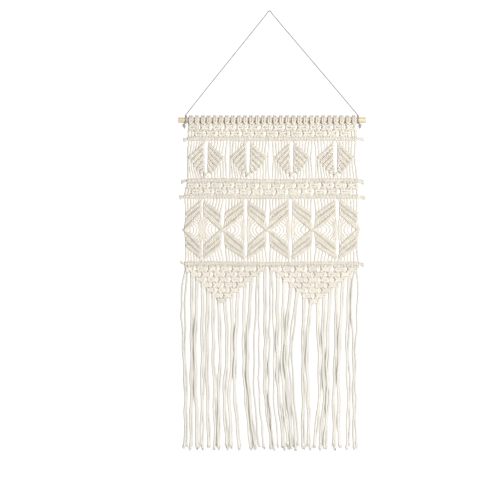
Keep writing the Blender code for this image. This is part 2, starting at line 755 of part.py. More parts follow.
def add_dowel():
    """The round wooden rod, its ends slightly rounded."""
    bm = bmesh.new()
    bmesh.ops.create_cone(
        bm,
        cap_ends=True,
        segments=DOWEL_SIDES,
        radius1=DOWEL_RADIUS * MM,
        radius2=DOWEL_RADIUS * MM,
        depth=DOWEL_LENGTH * MM,
    )
    rims = [e for e in bm.edges if abs(e.verts[0].co.z - e.verts[1].co.z) < DOWEL_LENGTH * MM / 2]
    bmesh.ops.bevel(
        bm,
        geom=rims,
        offset=DOWEL_BEVEL * MM,
        segments=DOWEL_BEVEL_STEPS,
        profile=0.5,
        affect="EDGES",
        material=-1,
    )
    dowel = mesh_object("dowel", bm, "wood")
    dowel.data.shade_smooth()
    dowel.data.set_sharp_from_angle(angle=math.radians(SHARP_ANGLE))
    dowel.rotation_euler = (0.0, math.pi / 2, 0.0)
    dowel.location = (DOWEL_X * MM, 0.0, DOWEL_Z * MM)


def add_hanging_cord():
    """The cord from tie to tie, over the hook at its apex."""
    curve = bpy.data.curves.new("hanging_cord", "CURVE")
    curve.dimensions = "3D"
    curve.bevel_depth = HANGING_RADIUS * MM
    curve.bevel_resolution = CORD_SIDES_LEVEL
    curve.use_fill_caps = True
    spline = curve.splines.new("POLY")
    spline.points.add(CORD_POINTS - 1)
    xs = [x for x, _ in CORD_ROUTE]
    zs = [z for _, z in CORD_ROUTE]
    for i, point in enumerate(spline.points):
        share = i / (CORD_POINTS - 1)
        point.co = (along(xs, share) * MM, 0.0, along(zs, share) * MM, 1.0)
    add_object("hanging_cord", curve, "twine")


def add_tie(name, x, inward):
    """One turn of the cord round the dowel, with its knot on top and its cut tail below."""
    bm = bmesh.new()
    turn = bmesh.ops.create_circle(bm, segments=TIE_CORD_SIDES, radius=HANGING_RADIUS)["verts"]
    bmesh.ops.rotate(bm, verts=turn, cent=(0.0, 0.0, 0.0), matrix=turn_about_x(math.pi / 2))
    bmesh.ops.translate(bm, verts=turn, vec=(x, 0.0, DOWEL_Z + TIE_TURN_RADIUS))
    bmesh.ops.spin(
        bm,
        geom=bm.verts[:] + bm.edges[:],
        cent=(x, 0.0, DOWEL_Z),
        axis=(1.0, 0.0, 0.0),
        angle=2 * math.pi,
        steps=TIE_SIDES,
        use_merge=True,
    )
    tie = tie_piece(name, bm)

    bm = bmesh.new()
    bmesh.ops.create_icosphere(bm, subdivisions=TIE_KNOT_LEVEL, radius=1.0)
    bmesh.ops.scale(bm, vec=TIE_KNOT, verts=bm.verts)
    bmesh.ops.translate(bm, verts=bm.verts, vec=(x + inward, 0.0, DOWEL_Z + TIE_KNOT_HEIGHT))
    join_to(tie, tie_piece(name + "_knot_shape", bm))

    bm = bmesh.new()
    bmesh.ops.create_cone(
        bm,
        cap_ends=True,
        segments=TIE_CORD_SIDES,
        radius1=TIE_TAIL_RADIUS,
        radius2=HANGING_RADIUS,
        depth=TIE_TAIL_LENGTH,
    )
    for vert in bm.verts:
        if vert.co.z < 0.0:
            vert.co.x -= inward
    foot = DOWEL_Z - TIE_TURN_RADIUS - TIE_TAIL_LENGTH / 2
    bmesh.ops.translate(bm, verts=bm.verts, vec=(x, 0.0, foot))
    join_to(tie, tie_piece(name + "_tail_shape", bm))


def tie_piece(name, bm):
    """A piece of a tie, brought from millimetres to metres."""
    bmesh.ops.scale(bm, vec=(MM, MM, MM), verts=bm.verts)
    return mesh_object(name, bm, "twine")


def join_to(whole, shape):
    """Fuse a hidden shape to an object."""
    join = whole.modifiers.new(shape.name, "BOOLEAN")
    join.operation = "UNION"
    join.object = shape
    shape.hide_render = True
    shape.display_type = "WIRE"


def main():
    """Clear the scene and build every piece."""
    for old in list(bpy.data.objects):
        bpy.data.objects.remove(old, do_unlink=True)
    edge = add_macrame()
    add_fringe(edge)
    add_dowel()
    add_hanging_cord()
    for name, (x, inward) in TIES.items():
        add_tie(name, x, inward)


main()
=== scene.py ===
"""Looks of a macrame wall hanging: every cord, knot and frayed end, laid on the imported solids.

Values are in millimetres, the scene is in metres, +Z up, and the front faces -Y.
The origin is just under the apex of the hanging twine, where the whole piece is held.
"""

import sys
import logging
import math
import random
from dataclasses import dataclass, field
from enum import Enum
from typing import Callable, Sequence

import bmesh
import bpy
import numpy as np
from mathutils import Matrix, Vector


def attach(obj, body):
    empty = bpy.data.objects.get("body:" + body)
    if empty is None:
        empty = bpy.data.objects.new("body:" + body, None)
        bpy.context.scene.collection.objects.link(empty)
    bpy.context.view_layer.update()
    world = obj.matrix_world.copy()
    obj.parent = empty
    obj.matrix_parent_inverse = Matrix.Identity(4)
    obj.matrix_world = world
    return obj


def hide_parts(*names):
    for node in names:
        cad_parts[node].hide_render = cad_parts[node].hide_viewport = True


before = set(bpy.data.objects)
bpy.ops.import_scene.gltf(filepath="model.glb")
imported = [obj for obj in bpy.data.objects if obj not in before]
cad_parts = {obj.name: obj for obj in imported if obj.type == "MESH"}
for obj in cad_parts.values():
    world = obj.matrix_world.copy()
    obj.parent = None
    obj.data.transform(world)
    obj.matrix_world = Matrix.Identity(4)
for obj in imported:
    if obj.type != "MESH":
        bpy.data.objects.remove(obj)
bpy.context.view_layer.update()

LOG = logging.getLogger("macrame")
MM = 0.001
BODY = "root"
STRAND_LAYER = "strand"  # a point's place in its cord before the cord is laid: across, across, along
TONE_LAYER = "tone"  # how light a cord is among its neighbours

CLOTH_Y = -4.0
CORDS = 56
PAIRS = CORDS // 2
HALF_REPEAT = 7
DOWEL_Z = -197.8
HEADS_LEFT = -148.4
HEADS_RIGHT = 158.8
HEADING_Z = -205.6  # where the cords leave the lark's heads
BAR_FACE = 0.4  # of a bar's height, from its axis to where the knots' cords start
ANY_ANGLE = 6.28  # highest random angle, about a full turn
FLARE = 0.45  # of its thickness, that a strand gains at its cut end
FLARE_LENGTH = 9.0
FANNED = (0.3, 1.0)  # least and most of its fan that a yarn of a cut end stands out


class Side(Enum):
    """Left or right, as a sign on x."""

    LEFT = -1
    RIGHT = 1

    @property
    def other(self) -> "Side":
        """The opposite side."""
        return Side(-self.value)


def mix(a: float, b: float, share: float) -> float:
    """The value a share of the way from a to b."""
    return a + (b - a) * share


def flare(from_end: float) -> float:
    """How thick a strand is near its cut end, against the usual thickness."""
    return 1.0 + FLARE * max(0.0, 1.0 - from_end / FLARE_LENGTH)


# Shader expressions


class Value:
    """A socket in an expression: arithmetic on it adds Math nodes to its graph."""

    def __init__(self, graph: "Graph", socket: bpy.types.NodeSocket) -> None:
        """Hold one output socket of a graph."""
        self.graph = graph
        self.socket = socket

    def math(self, operation: str, *others: "Value | float") -> "Value":
        """Add a Math node with this value first.

        Args:
            operation: the Math node's operation.
            others: its further inputs.

        Returns:
            The node's result.
        """
        return self.graph.arithmetic(operation, self, *others)

    def __add__(self, other: "Value | float") -> "Value":
        """This plus the other."""
        return self.math("ADD", other)

    __radd__ = __add__

    def __mul__(self, other: "Value | float") -> "Value":
        """This times the other."""
        return self.math("MULTIPLY", other)

    __rmul__ = __mul__

    def __sub__(self, other: "Value | float") -> "Value":
        """This minus the other."""
        return self.math("SUBTRACT", other)

    def __rsub__(self, other: "Value | float") -> "Value":
        """The other minus this."""
        return self.graph.arithmetic("SUBTRACT", other, self)

    def __pow__(self, other: "Value | float") -> "Value":
        """This to the power of the other."""
        return self.math("POWER", other)


class Graph:
    """The node tree of a material or a world, written as expressions."""

    def __init__(self, owner: bpy.types.Material | bpy.types.World) -> None:
        """Start from the nodes that its owner is made with."""
        owner.use_nodes = True
        self.owner = owner
        self.tree = owner.node_tree

    def node(self, kind: str, settings: dict, inputs: dict, output: str) -> Value:
        """Add any node.

        Args:
            kind: the node's type.
            settings: its properties, set before its sockets are looked up.
            inputs: a value, a tuple or a Value for each input, by name or identifier.
            output: the name or identifier of the output to use.

        Returns:
            The chosen output.
        """
        made = self.tree.nodes.new(kind)
        for key, value in settings.items():
            setattr(made, key, value)
        for key, value in inputs.items():
            self.feed(self.pick(made.inputs, key), value)
        return Value(self, self.pick(made.outputs, output))

    @staticmethod
    def pick(sockets: Sequence[bpy.types.NodeSocket], key: str) -> bpy.types.NodeSocket:
        """The socket of that identifier, or else of that name."""
        exact = [s for s in sockets if s.identifier == key]
        return (exact or [s for s in sockets if s.name == key and s.enabled])[0]

    def feed(self, socket: bpy.types.NodeSocket, value: object) -> None:
        """Link a Value to a socket, or set the socket to a plain value."""
        if isinstance(value, Value):
            self.tree.links.new(value.socket, socket)
        else:
            socket.default_value = value

    def arithmetic(self, operation: str, *values: "Value | float") -> Value:
        """A Math node on numbers.

        Args:
            operation: the node's operation.
            values: its inputs in order.

        Returns:
            The result.
        """
        sockets = ("Value", "Value_001", "Value_002")
        return self.node("ShaderNodeMath", {"operation": operation}, dict(zip(sockets, values)), "Value")

    def vector(self, operation: str, a: object, b: object) -> Value:
        """A Vector Math node on two vectors or colours."""
        inputs = {"Vector": a, "Vector_001": b}
        return self.node("ShaderNodeVectorMath", {"operation": operation}, inputs, "Vector")

    def blend(self, factor: object, a: object, b: object) -> Value:
        """A colour between a and b."""
        inputs = {"Factor_Float": factor, "A_Color": a, "B_Color": b}
        return self.node("ShaderNodeMix", {"data_type": "RGBA"}, inputs, "Result_Color")

    def noise(self, place: Value, scale: float, detail: float = 2.0) -> Value:
        """Noise between 0 and 1 at a place."""
        inputs = {"Vector": place, "Scale": scale, "Detail": detail}
        return self.node("ShaderNodeTexNoise", {}, inputs, "Fac")

    def attribute(self, name: str, output: str) -> Value:
        """An attribute of the mesh."""
        return self.node("ShaderNodeAttribute", {"attribute_name": name}, {}, output)

    def place(self, kind: str = "Object") -> Value:
        """The place on the object in metres, or a world's direction if Generated."""
        return self.node("ShaderNodeTexCoord", {}, {}, kind)

    def separate(self, vector: Value) -> tuple[Value, Value, Value]:
        """The three parts of a vector."""
        inputs = {"Vector": vector}
        parts = [self.node("ShaderNodeSeparateXYZ", {}, inputs, axis) for axis in "XYZ"]
        return parts[0], parts[1], parts[2]

    def combine(self, x: object, y: object, z: object) -> Value:
        """A vector of three numbers."""
        return self.node("ShaderNodeCombineXYZ", {}, {"X": x, "Y": y, "Z": z}, "Vector")

    def surface(
        self,
        colour: object,
        roughness: object,
        height: Value,
        depth: float,
        **constants: object,
    ) -> None:
        """Feed the shader.

        Args:
            colour: the base colour.
            roughness: the roughness.
            height: the relief, between 0 and 1.
            depth: how deep the relief is, in millimetres.
            constants: sockets of the shader that are the same all over, by name.
        """
        inputs = self.tree.nodes["Principled BSDF"].inputs
        self.feed(inputs["Base Color"], colour)
        self.feed(inputs["Roughness"], roughness)
        bump = self.node("ShaderNodeBump", {}, {"Height": height, "Distance": depth * MM}, "Normal")
        self.feed(inputs["Normal"], bump)
        for key, value in constants.items():
            inputs[key.replace("_", " ")].default_value = value


# Finishes


@dataclass(frozen=True)
class CordFinish:
    """Twisted cotton: pale crests, grooves between the plies painted darker and warmer as painted shade, and
    fine fibres along them.
    """

    name: str
    crest: tuple = (0.812, 0.777, 0.702, 1.0)
    # groove: painted shade, the darker colour laid in the crevices between the plies
    groove: tuple = (0.590, 0.533, 0.436, 1.0)
    plies: int = 3
    roughness: float = 0.88
    sheen: float = 0.25
    fibre_depth: float = 0.22
    slot: str = "cotton"

    def material(self) -> bpy.types.Material:
        """The finish as a material that follows each cord's own lay."""
        graph = Graph(bpy.data.materials.new(self.name))
        strand = graph.attribute(STRAND_LAYER, "Vector")
        across, depth, along = graph.separate(strand)
        angle = depth.math("ARCTAN2", across)
        ply = 0.5 - (angle * self.plies).math("COSINE") * 0.5
        fibres = graph.noise(graph.combine(across * 2.6, depth * 2.6, along * 0.32), 1.0, 3.0)
        slubs = graph.noise(graph.combine(across * 0.3, depth * 0.3, along * 0.11), 1.0, 1.0)
        patches = graph.noise(graph.place(), 14.0, 2.0)
        tone = graph.attribute(TONE_LAYER, "Fac")
        lightness = tone * 0.10 + fibres * 0.16 + slubs * 0.10 + patches * 0.08 + 0.76
        # painted shade: the colour darkens towards the groove colour where the plies meet
        colour = graph.blend(ply ** 0.6, self.groove, self.crest)
        colour = graph.vector("MULTIPLY", colour, graph.combine(lightness, lightness, lightness))
        height = ply * 0.55 + fibres * 0.45
        roughness = self.roughness + fibres * 0.1 - 0.05
        graph.surface(
            colour,
            roughness,
            height,
            self.fibre_depth,
            Sheen_Weight=self.sheen,
            Sheen_Roughness=0.5,
            Specular_IOR_Level=0.25,
        )
        return graph.owner


@dataclass(frozen=True)
class WoodFinish:
    """Plain sanded softwood with its grain along the rod and rings on its cut ends."""

    name: str
    pale: tuple = (0.790, 0.660, 0.470, 1.0)
    dark: tuple = (0.570, 0.450, 0.290, 1.0)
    roughness: float = 0.55
    slot: str = "wood"

    def material(self) -> bpy.types.Material:
        """The finish as a material on the object's own place."""
        graph = Graph(bpy.data.materials.new(self.name))
        x, y, z = graph.separate(graph.place())
        wander = graph.noise(graph.combine(x * 9.0, y * 60.0, z * 60.0), 1.0, 2.0)
        streaks = graph.noise(graph.combine(x * 22.0, y * 900.0, z * 900.0), 1.0, 3.0)
        rings = ((y * 2400.0 + z * 900.0 + wander * 9.0).math("SINE")) * 0.5 + 0.5
        grain = rings * 0.55 + streaks * 0.45
        colour = graph.blend(grain, self.pale, self.dark)
        graph.surface(colour, self.roughness + streaks * 0.15, grain, 0.12, Specular_IOR_Level=0.35)
        return graph.owner


@dataclass(frozen=True)
class PaleFinish:
    """The plain pale surface of the studio floor."""

    name: str
    colour: tuple = (0.93, 0.93, 0.93, 1.0)

    def material(self) -> bpy.types.Material:
        """The finish, with a barely uneven surface."""
        graph = Graph(bpy.data.materials.new(self.name))
        graph.surface(self.colour, 0.9, graph.noise(graph.place(), 3.0), 0.5)
        return graph.owner


# Cords


def smooth_route(stops: Sequence[Sequence[float]], spacing: float) -> list[Vector]:
    """Read an even row of points from a smooth curve through the stops.

    Args:
        stops: places that the cord passes, in millimetres.
        spacing: about how far apart the points are.

    Returns:
        The points, from the first stop to the last.
    """
    ends = np.array([stops[0], *stops, stops[-1]], float)
    share = np.linspace(0.0, 1.0, 12, endpoint=False)[:, None]
    dense = []
    for p0, p1, p2, p3 in zip(ends, ends[1:], ends[2:], ends[3:]):
        slope = p2 - p0
        bend = 2 * p0 - 5 * p1 + 4 * p2 - p3
        twist = 3 * (p1 - p2) + p3 - p0
        dense.append(p1 + share * (slope + share * (bend + share * twist)) / 2)
    line = np.vstack([*dense, ends[-1:]])
    run = np.concatenate([[0.0], np.cumsum(np.linalg.norm(np.diff(line, axis=0), axis=1))])
    count = max(2, round(run[-1] / spacing))
    at = np.linspace(0.0, run[-1], count + 1)
    return [Vector(p) for p in zip(*(np.interp(at, run, line[:, axis]) for axis in range(3)))]


def cord_frames(points: Sequence[Vector]) -> list[tuple[Vector, Vector, Vector]]:
    """Carry a cross-section along a route without turning it about the route.

    Args:
        points: the route.

    Returns:
        For each point its place and the two directions across the cord.
    """
    last = len(points) - 1
    aims = [(points[min(i + 1, last)] - points[max(i - 1, 0)]).normalized() for i in range(last + 1)]
    side = aims[0].orthogonal().normalized()
    frames = []
    for i, (place, aim) in enumerate(zip(points, aims)):
        if i:
            side = aims[i - 1].rotation_difference(aim) @ side
        side = (side - aim * side.dot(aim)).normalized()
        frames.append((place, side, aim.cross(side)))
    return frames


@dataclass(frozen=True)
class Rope:
    """A laid cord: its thickness, its plies and how fast they turn."""

    radius: float = 1.5
    groove: float = 0.78
    plies: int = 3
    sides: int = 3  # of each ply
    lay: float = 9.0
    spacing: float = 1.5

    def straight(self, length: float, steps: int) -> bmesh.types.BMesh:
        """A straight piece of the cord, standing on its end.

        Args:
            length: how long it is.
            steps: how many rings of faces it has.

        Returns:
            The piece, with each point's place among the plies in its layer.
        """
        bm = bmesh.new()
        layer = bm.verts.layers.float_vector.new(STRAND_LAYER)
        segments = self.sides * self.plies
        ring = bmesh.ops.create_circle(bm, segments=segments, radius=self.radius)["verts"]
        bmesh.ops.scale(bm, vec=(self.groove, self.groove, 1.0), verts=ring[:: self.sides])
        for vert in ring:
            vert[layer] = vert.co
        bmesh.ops.spin(
            bm,
            geom=bm.verts[:] + bm.edges[:],
            cent=(0.0, 0.0, 0.0),
            axis=(0.0, 0.0, 1.0),
            dvec=(0.0, 0.0, length / steps),
            angle=2 * math.pi * length / self.lay,
            steps=steps,
        )
        bmesh.ops.holes_fill(bm, edges=bm.edges, sides=segments)
        bmesh.ops.recalc_face_normals(bm, faces=bm.faces)
        return bm

    def laid(
        self,
        stops: Sequence[Sequence[float]],
        start: float = 0.0,
        swell: Callable[[float], float] | None = None,
    ) -> bmesh.types.BMesh:
        """The cord laid along a route.

        Args:
            stops: places that it passes.
            start: how far along its yarn it starts, so that cords don't look alike.
            swell: its thickness at a distance from its far end, against the usual one.

        Returns:
            The cord as a closed shape, in millimetres.
        """
        points = smooth_route(stops, self.spacing)
        steps = len(points) - 1
        length = sum((b - a).length for a, b in zip(points, points[1:]))
        bm = self.straight(length, steps)
        frames = cord_frames(points)
        layer = bm.verts.layers.float_vector[STRAND_LAYER]
        for vert in bm.verts:
            height = vert.co.z
            place, side, back = frames[min(steps, max(0, round(height * steps / length)))]
            wide = swell(length - height) if swell else 1.0
            strand = vert[layer]
            vert[layer] = (strand[0], strand[1], height + start)
            vert.co = place + (side * vert.co.x + back * vert.co.y) * wide
        return bm


class Cordwork:
    """One piece of the hanging, made up of many cords."""

    def __init__(self, name: str, finish: CordFinish, seed: int) -> None:
        """Start an empty piece with its own row of random numbers."""
        self.name = name
        self.finish = finish
        self.bm = bmesh.new()
        self.random = random.Random(seed)

    def add(self, shape: bmesh.types.BMesh) -> None:
        """Put a shape in the piece, in a tone of its own, and let go of it."""
        mesh = bpy.data.meshes.new("part")
        shape.to_mesh(mesh)
        shape.free()
        self.add_copy(mesh, Matrix.Identity(4))
        bpy.data.meshes.remove(mesh)

    def add_copy(self, mesh: bpy.types.Mesh, place: Matrix) -> None:
        """Put a copy of a mesh in the piece.

        Args:
            mesh: what to copy, in millimetres.
            place: where it goes, in millimetres.
        """
        copy = mesh.copy()
        copy.transform(place)
        tone = copy.attributes.new(TONE_LAYER, "FLOAT", "POINT")
        tone.data.foreach_set("value", [self.random.random()] * len(copy.vertices))
        self.bm.from_mesh(copy)
        bpy.data.meshes.remove(copy)

    def lay(self, rope: Rope, stops: Sequence[Sequence[float]], swell: Callable | None = None) -> None:
        """Lay a cord of the piece along a route."""
        self.add(rope.laid(stops, self.random.uniform(0.0, 500.0), swell))

    def finished(self, materials: dict[str, bpy.types.Material], *nodes: str) -> bpy.types.Object:
        """Make the object and tie it to the frame.

        Args:
            materials: the finishes by name.
            nodes: the solids that it stands for.

        Returns:
            The object, at the origin with its place in its mesh.
        """
        bmesh.ops.scale(self.bm, vec=(MM, MM, MM), verts=self.bm.verts)
        mesh = bpy.data.meshes.new(self.name)
        self.bm.to_mesh(mesh)
        self.bm.free()
        mesh.shade_smooth()
        mesh.materials.append(materials[self.finish.name])
        return tie_to_frame(self.name, mesh, nodes)


def tie_to_frame(name: str, mesh: bpy.types.Mesh, nodes: Sequence[str]) -> bpy.types.Object:
    """Make an object of a mesh, hang it on its body, and hide the solids that it stands for.

    Args:
        name: the object's name.
        mesh: its mesh, in metres and in place.
        nodes: the solids that it stands for.

    Returns:
        The object.
    """
    made = bpy.data.objects.new(name, mesh)
    bpy.context.scene.collection.objects.link(made)
    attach(made, BODY)
    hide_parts(*nodes)
    LOG.info("%s: %d faces", name, len(mesh.polygons))
    return made


# Where things are on the cloth


@dataclass(frozen=True)
class BarLine:
    """The line of one bar of double half hitches, and the ends of its holding cord."""

    name: str
    left: float
    middle: float
    right: float
    z: float
    height: float
    wave: float
    left_reach: float
    left_drop: float
    right_reach: float
    right_drop: float
    waves: float = 1.5

    def x(self, share: float) -> float:
        """Where a share of the bar's length falls, with the middle cord in its own place."""
        return (
            self.left * (1 - share) * (1 - 2 * share)
            + self.middle * 4 * share * (1 - share)
            + self.right * share * (2 * share - 1)
        )

    def place(self, share: float) -> Vector:
        """A point on the bar's axis."""
        z = self.z + self.wave * math.sin(2 * math.pi * self.waves * share)
        return Vector((self.x(share), CLOTH_Y, z))

    def cord(self, i: int) -> Vector:
        """Where working cord i meets the bar's axis."""
        return self.place((i + 0.5) / CORDS)


# name, left, middle, right, z, height, wave, left reach and drop, right reach and drop
BAR_1 = BarLine("bar_1", -148.9, 2.9, 159.3, -232.4, 9.3, 0.3, 8.0, 2.5, 12.0, 1.5)
BAR_2 = BarLine("bar_2", -150.3, 2.7, 162.2, -308.4, 10.0, 1.0, 10.0, 3.0, 10.5, 3.5)
BAR_3 = BarLine("bar_3", -155.8, -2.0, 162.5, -337.6, 9.1, 0.5, 8.5, 1.0, 12.0, 2.5)
BAR_4 = BarLine("bar_4", -154.7, -2.0, 163.8, -459.0, 10.0, 0.6, 7.0, -2.0, 8.0, 3.0)


# Knots


@dataclass(frozen=True)
class Hitches:
    """Wraps of cord side by side round a holding cord, as double half hitches lie."""

    ring_radius: float = 2.75
    cord_radius: float = 1.62
    pitch: float = 2.9
    lean: float = 0.22
    turns: int = 9
    sides: int = 6
    lay: float = 9.0
    shorter: float = 3.0
    edge_x: float = 2.1
    sunk: float = 1.6
    edge_tuck: float = 1.6  # times edge_x, that an edge cord's ends run inward
    edge_back: float = 0.6
    sizes: tuple = (0.95, 1.05)
    spreads: tuple = (0.97, 1.03)
    leans: tuple = (-0.06, 0.06)
    rolls: tuple = (-0.9, 0.9)
    strays: tuple = (-0.25, 0.25)
    core: Rope = Rope(radius=1.4, sides=2, spacing=1.8)
    passing: Rope = Rope(radius=2.4, spacing=1.7)
    edge: Rope = Rope(radius=2.0)

    def wrap(self) -> bpy.types.Mesh:
        """One closed wrap round the x axis.

        Returns:
            The wrap as a mesh, in millimetres.
        """
        bm = bmesh.new()
        layer = bm.verts.layers.float_vector.new(STRAND_LAYER)
        ring = bmesh.ops.create_circle(bm, segments=self.sides, radius=self.cord_radius)["verts"]
        for vert in ring:
            vert[layer] = vert.co
        bmesh.ops.translate(bm, verts=ring, vec=(0.0, self.ring_radius, 0.0))
        bmesh.ops.spin(
            bm,
            geom=bm.verts[:] + bm.edges[:],
            cent=(0.0, 0.0, 0.0),
            axis=(1.0, 0.0, 0.0),
            angle=2 * math.pi,
            steps=self.turns,
            use_merge=True,
        )
        bmesh.ops.recalc_face_normals(bm, faces=bm.faces)
        around = 2 * math.pi * self.ring_radius
        for vert in bm.verts:
            turn = math.atan2(vert.co.z, vert.co.y) / (2 * math.pi)
            spun = 2 * math.pi * turn * around / self.lay
            x, y, _ = vert[layer]
            across = x * math.cos(spun) + y * math.sin(spun)
            vert[layer] = (across, y * math.cos(spun) - x * math.sin(spun), turn * around)
        mesh = bpy.data.meshes.new("wrap")
        bm.to_mesh(mesh)
        bm.free()
        return mesh

    def along(self, work: Cordwork, wrap: bpy.types.Mesh, start: Vector, end: Vector, count: int) -> None:
        """Set wraps along a straight holding cord.

        Args:
            work: the piece that they go in.
            wrap: one wrap round the x axis.
            start: where the row starts.
            end: where it ends.
            count: how many wraps it has.
        """
        line = end - start
        turn = math.atan2(-line.z, line.x)
        for i in range(count):
            self.set_wrap(work, wrap, start + line * (i + 0.5) / count, turn, line.length / count)

    def field(
        self,
        work: Cordwork,
        wrap: bpy.types.Mesh,
        ribs: Sequence[tuple[Vector, Vector]],
        edges: Sequence[Side],
        free: int = 0,
    ) -> None:
        """Tie ribs side by side, with the cords that pass from one to the next.

        Args:
            work: the piece that they go in.
            wrap: one wrap round the x axis.
            ribs: the left and the right end of each rib's holding cord, in order.
            edges: the sides on which the ribs end in line, with a cord down that edge.
            free: how many ribs at the end of the row run past the last edge.
        """
        back = Vector((0.0, self.sunk, 0.0))
        for n, (left, right) in enumerate(ribs):
            line = (right - left).normalized()
            kept = edges[:-1] if n >= len(ribs) - free else edges
            a = left + line * self.shorter if Side.LEFT in kept else left
            b = right - line * self.shorter if Side.RIGHT in kept else right
            self.along(work, wrap, a, b, max(2, round((b - a).length / self.pitch)))
            work.lay(self.core, [a, b])
        for (a, b), (c, d) in zip(ribs, ribs[1:]):
            count = max(1, round((d - c).length / (2 * self.pitch)))
            for i in range(count):
                share = (i + 0.5) / count
                work.lay(self.passing, [a.lerp(b, share) + back, c.lerp(d, share) + back])
        for side in edges:
            inward = Vector((-side.value * self.edge_x, 0.0, 0.0))
            held = ribs[: len(ribs) - (free if side is edges[-1] else 0)]
            turns = [rib[(side.value + 1) // 2] + inward for rib in held]
            if len(turns) > 1:
                inside = inward * self.edge_tuck + Vector((0.0, self.edge_back, 0.0))
                work.lay(self.edge, [turns[0] + inside, *turns, turns[-1] + inside])

    def set_wrap(
        self,
        work: Cordwork,
        wrap: bpy.types.Mesh,
        place: Vector,
        turn: float,
        width: float,
    ) -> None:
        """Set one wrap, a little unlike its neighbours.

        Args:
            work: the piece that it goes in.
            wrap: one wrap round the x axis.
            place: its middle.
            turn: the angle of its holding cord about y.
            width: how much of the holding cord it covers.
        """
        uneven = work.random.uniform
        size = uneven(*self.sizes)
        spread = 0.5 * (1.0 + width / (2 * self.cord_radius)) * uneven(*self.spreads)
        lean = self.lean + uneven(*self.leans)
        roll = math.pi + uneven(*self.rolls)
        shape = Matrix.Rotation(lean, 4, "Z") @ Matrix.Rotation(roll, 4, "X")
        scale = Matrix.Diagonal((spread, size, size, 1.0))
        shift = Matrix.Translation(place + Vector((0.0, uneven(*self.strays), 0.0)))
        work.add_copy(wrap, shift @ Matrix.Rotation(turn, 4, "Y") @ scale @ shape)


@dataclass(frozen=True)
class SquareKnot:
    """A square knot: two working cords tied round two filler cords."""

    rope: Rope = Rope(radius=2.7)
    filler: Rope = Rope(radius=2.7, spacing=1.7)
    filler_x: float = 3.0
    filler_z: float = 1.5
    strays: tuple = ((-0.3, 0.3), (-0.3, 0.2), (-0.3, 0.3))  # of its middle, on x, y and z
    outer_tuck: Vector = Vector((0.0, 1.2, 2.4))
    inner_tuck: Vector = Vector((1.6, 0.4, 1.6))
    half_height: float = 5.4  # at which the paths below are drawn
    half_width: float = 7.0  # at which they are drawn
    breadth: float = 0.92  # of a knot, against the breadth of its four cords
    fall: Vector = Vector((0.0, -1.5, -1.2))

    def carrier_path(self) -> list[tuple[float, float, float]]:
        """The upper half of the cord that crosses in front, down to its turn on the right."""
        return [
            (-6.9, -0.6, 3.7),
            (-3.6, -2.3, 2.5),
            (0.0, -2.8, 2.1),
            (3.4, -2.5, 1.8),
            (6.1, -1.5, 1.3),
            (7.0, -0.2, 0.0),
        ]

    def lock_path(self) -> list[tuple[float, float, float]]:
        """The upper half of the cord that holds the first, down to its bump on the left."""
        return [
            (7.0, -2.0, 4.0),
            (5.6, -3.3, 2.2),
            (4.5, -1.8, 0.7),
            (2.8, 2.3, 1.0),
            (0.0, 3.3, 2.0),
            (-2.8, 2.4, 3.2),
            (-4.1, -0.9, 4.1),
            (-5.7, -3.0, 2.6),
            (-6.7, -3.2, 0.0),
        ]

    def tie(
        self,
        work: Cordwork,
        centre: Vector,
        above: Sequence[Vector],
        below: Sequence[Vector],
        side: Side = Side.LEFT,
    ) -> None:
        """Tie one knot.

        Args:
            work: the piece that it goes in.
            centre: its middle.
            above: the four places where its cords come in, from left to right.
            below: the four places where they go out.
            side: on which side its bump lies.
        """
        height = (above[0].z - below[0].z) / 2
        flip = -side.value
        tall = height / self.half_height
        wide = (above[3].x - above[0].x) * self.breadth / (2 * self.half_width)
        uneven = work.random.uniform

        def at(path: Sequence[tuple[float, float, float]], sign: int) -> list[Vector]:
            """The path in place, upright or mirrored top to bottom."""
            return [centre + Vector((flip * x * wide, y, sign * z * tall)) for x, y, z in path]

        centre = centre + Vector([uneven(*limits) for limits in self.strays])
        first, last = (0, 3) if flip > 0 else (3, 0)
        down = Vector((1.0, 1.0, -1.0))
        for path, end in ((self.carrier_path(), first), (self.lock_path(), last)):
            middle = [*at(path, 1), *at(path[:-1], -1)[::-1]]
            middle = [above[end] + self.fall, *middle, below[end] + self.fall * down]
            route = [above[end] + self.outer_tuck, above[end], *middle, below[end]]
            work.lay(self.rope, [*route, below[end] + self.outer_tuck * down])
        for end, sign in ((1, -1), (2, 1)):
            x = sign * self.filler_x
            middle = [centre + Vector((x, 0.0, z)) for z in (self.filler_z, -self.filler_z)]
            tuck = self.inner_tuck * Vector((sign, 1.0, 1.0))
            middle = [above[end] + self.fall, *middle, below[end] + self.fall * down]
            route = [above[end] + tuck, above[end], *middle, below[end], below[end] + tuck * down]
            work.lay(self.filler, route)


@dataclass(frozen=True)
class Crossing:
    """Two holding cords that cross over each other in front of the cloth."""

    reach: float
    rise: float
    rope: Rope = Rope(radius=1.8)
    fronts: tuple = (3.8, 2.4)
    turned: float = 2.4

    def tie(self, work: Cordwork, middle: Vector, sides: Sequence[Side]) -> None:
        """Cross the cords, or turn them back where the cloth has only one side.

        Args:
            work: the piece that they go in.
            middle: where they cross.
            sides: the sides on which the cloth goes on.
        """
        if len(sides) == 1:
            middle = middle + Vector((sides[0].value * self.turned, 0.0, 0.0))
        for slope, front in zip((1, -1), self.fronts):
            ends = []
            for side in (Side.LEFT, Side.RIGHT):
                kept = side if side in sides else sides[0]
                rise = side.value * slope * self.rise
                ends.append(middle + Vector((kept.value * self.reach, -1.0, rise)))
            work.lay(self.rope, [ends[0], middle + Vector((0.0, -front, 0.0)), ends[1]])


def four(xs: Sequence[float], z: float) -> list[Vector]:
    """Four places on one height."""
    return [Vector((x, CLOTH_Y, z)) for x in xs]


# Sub-assemblies


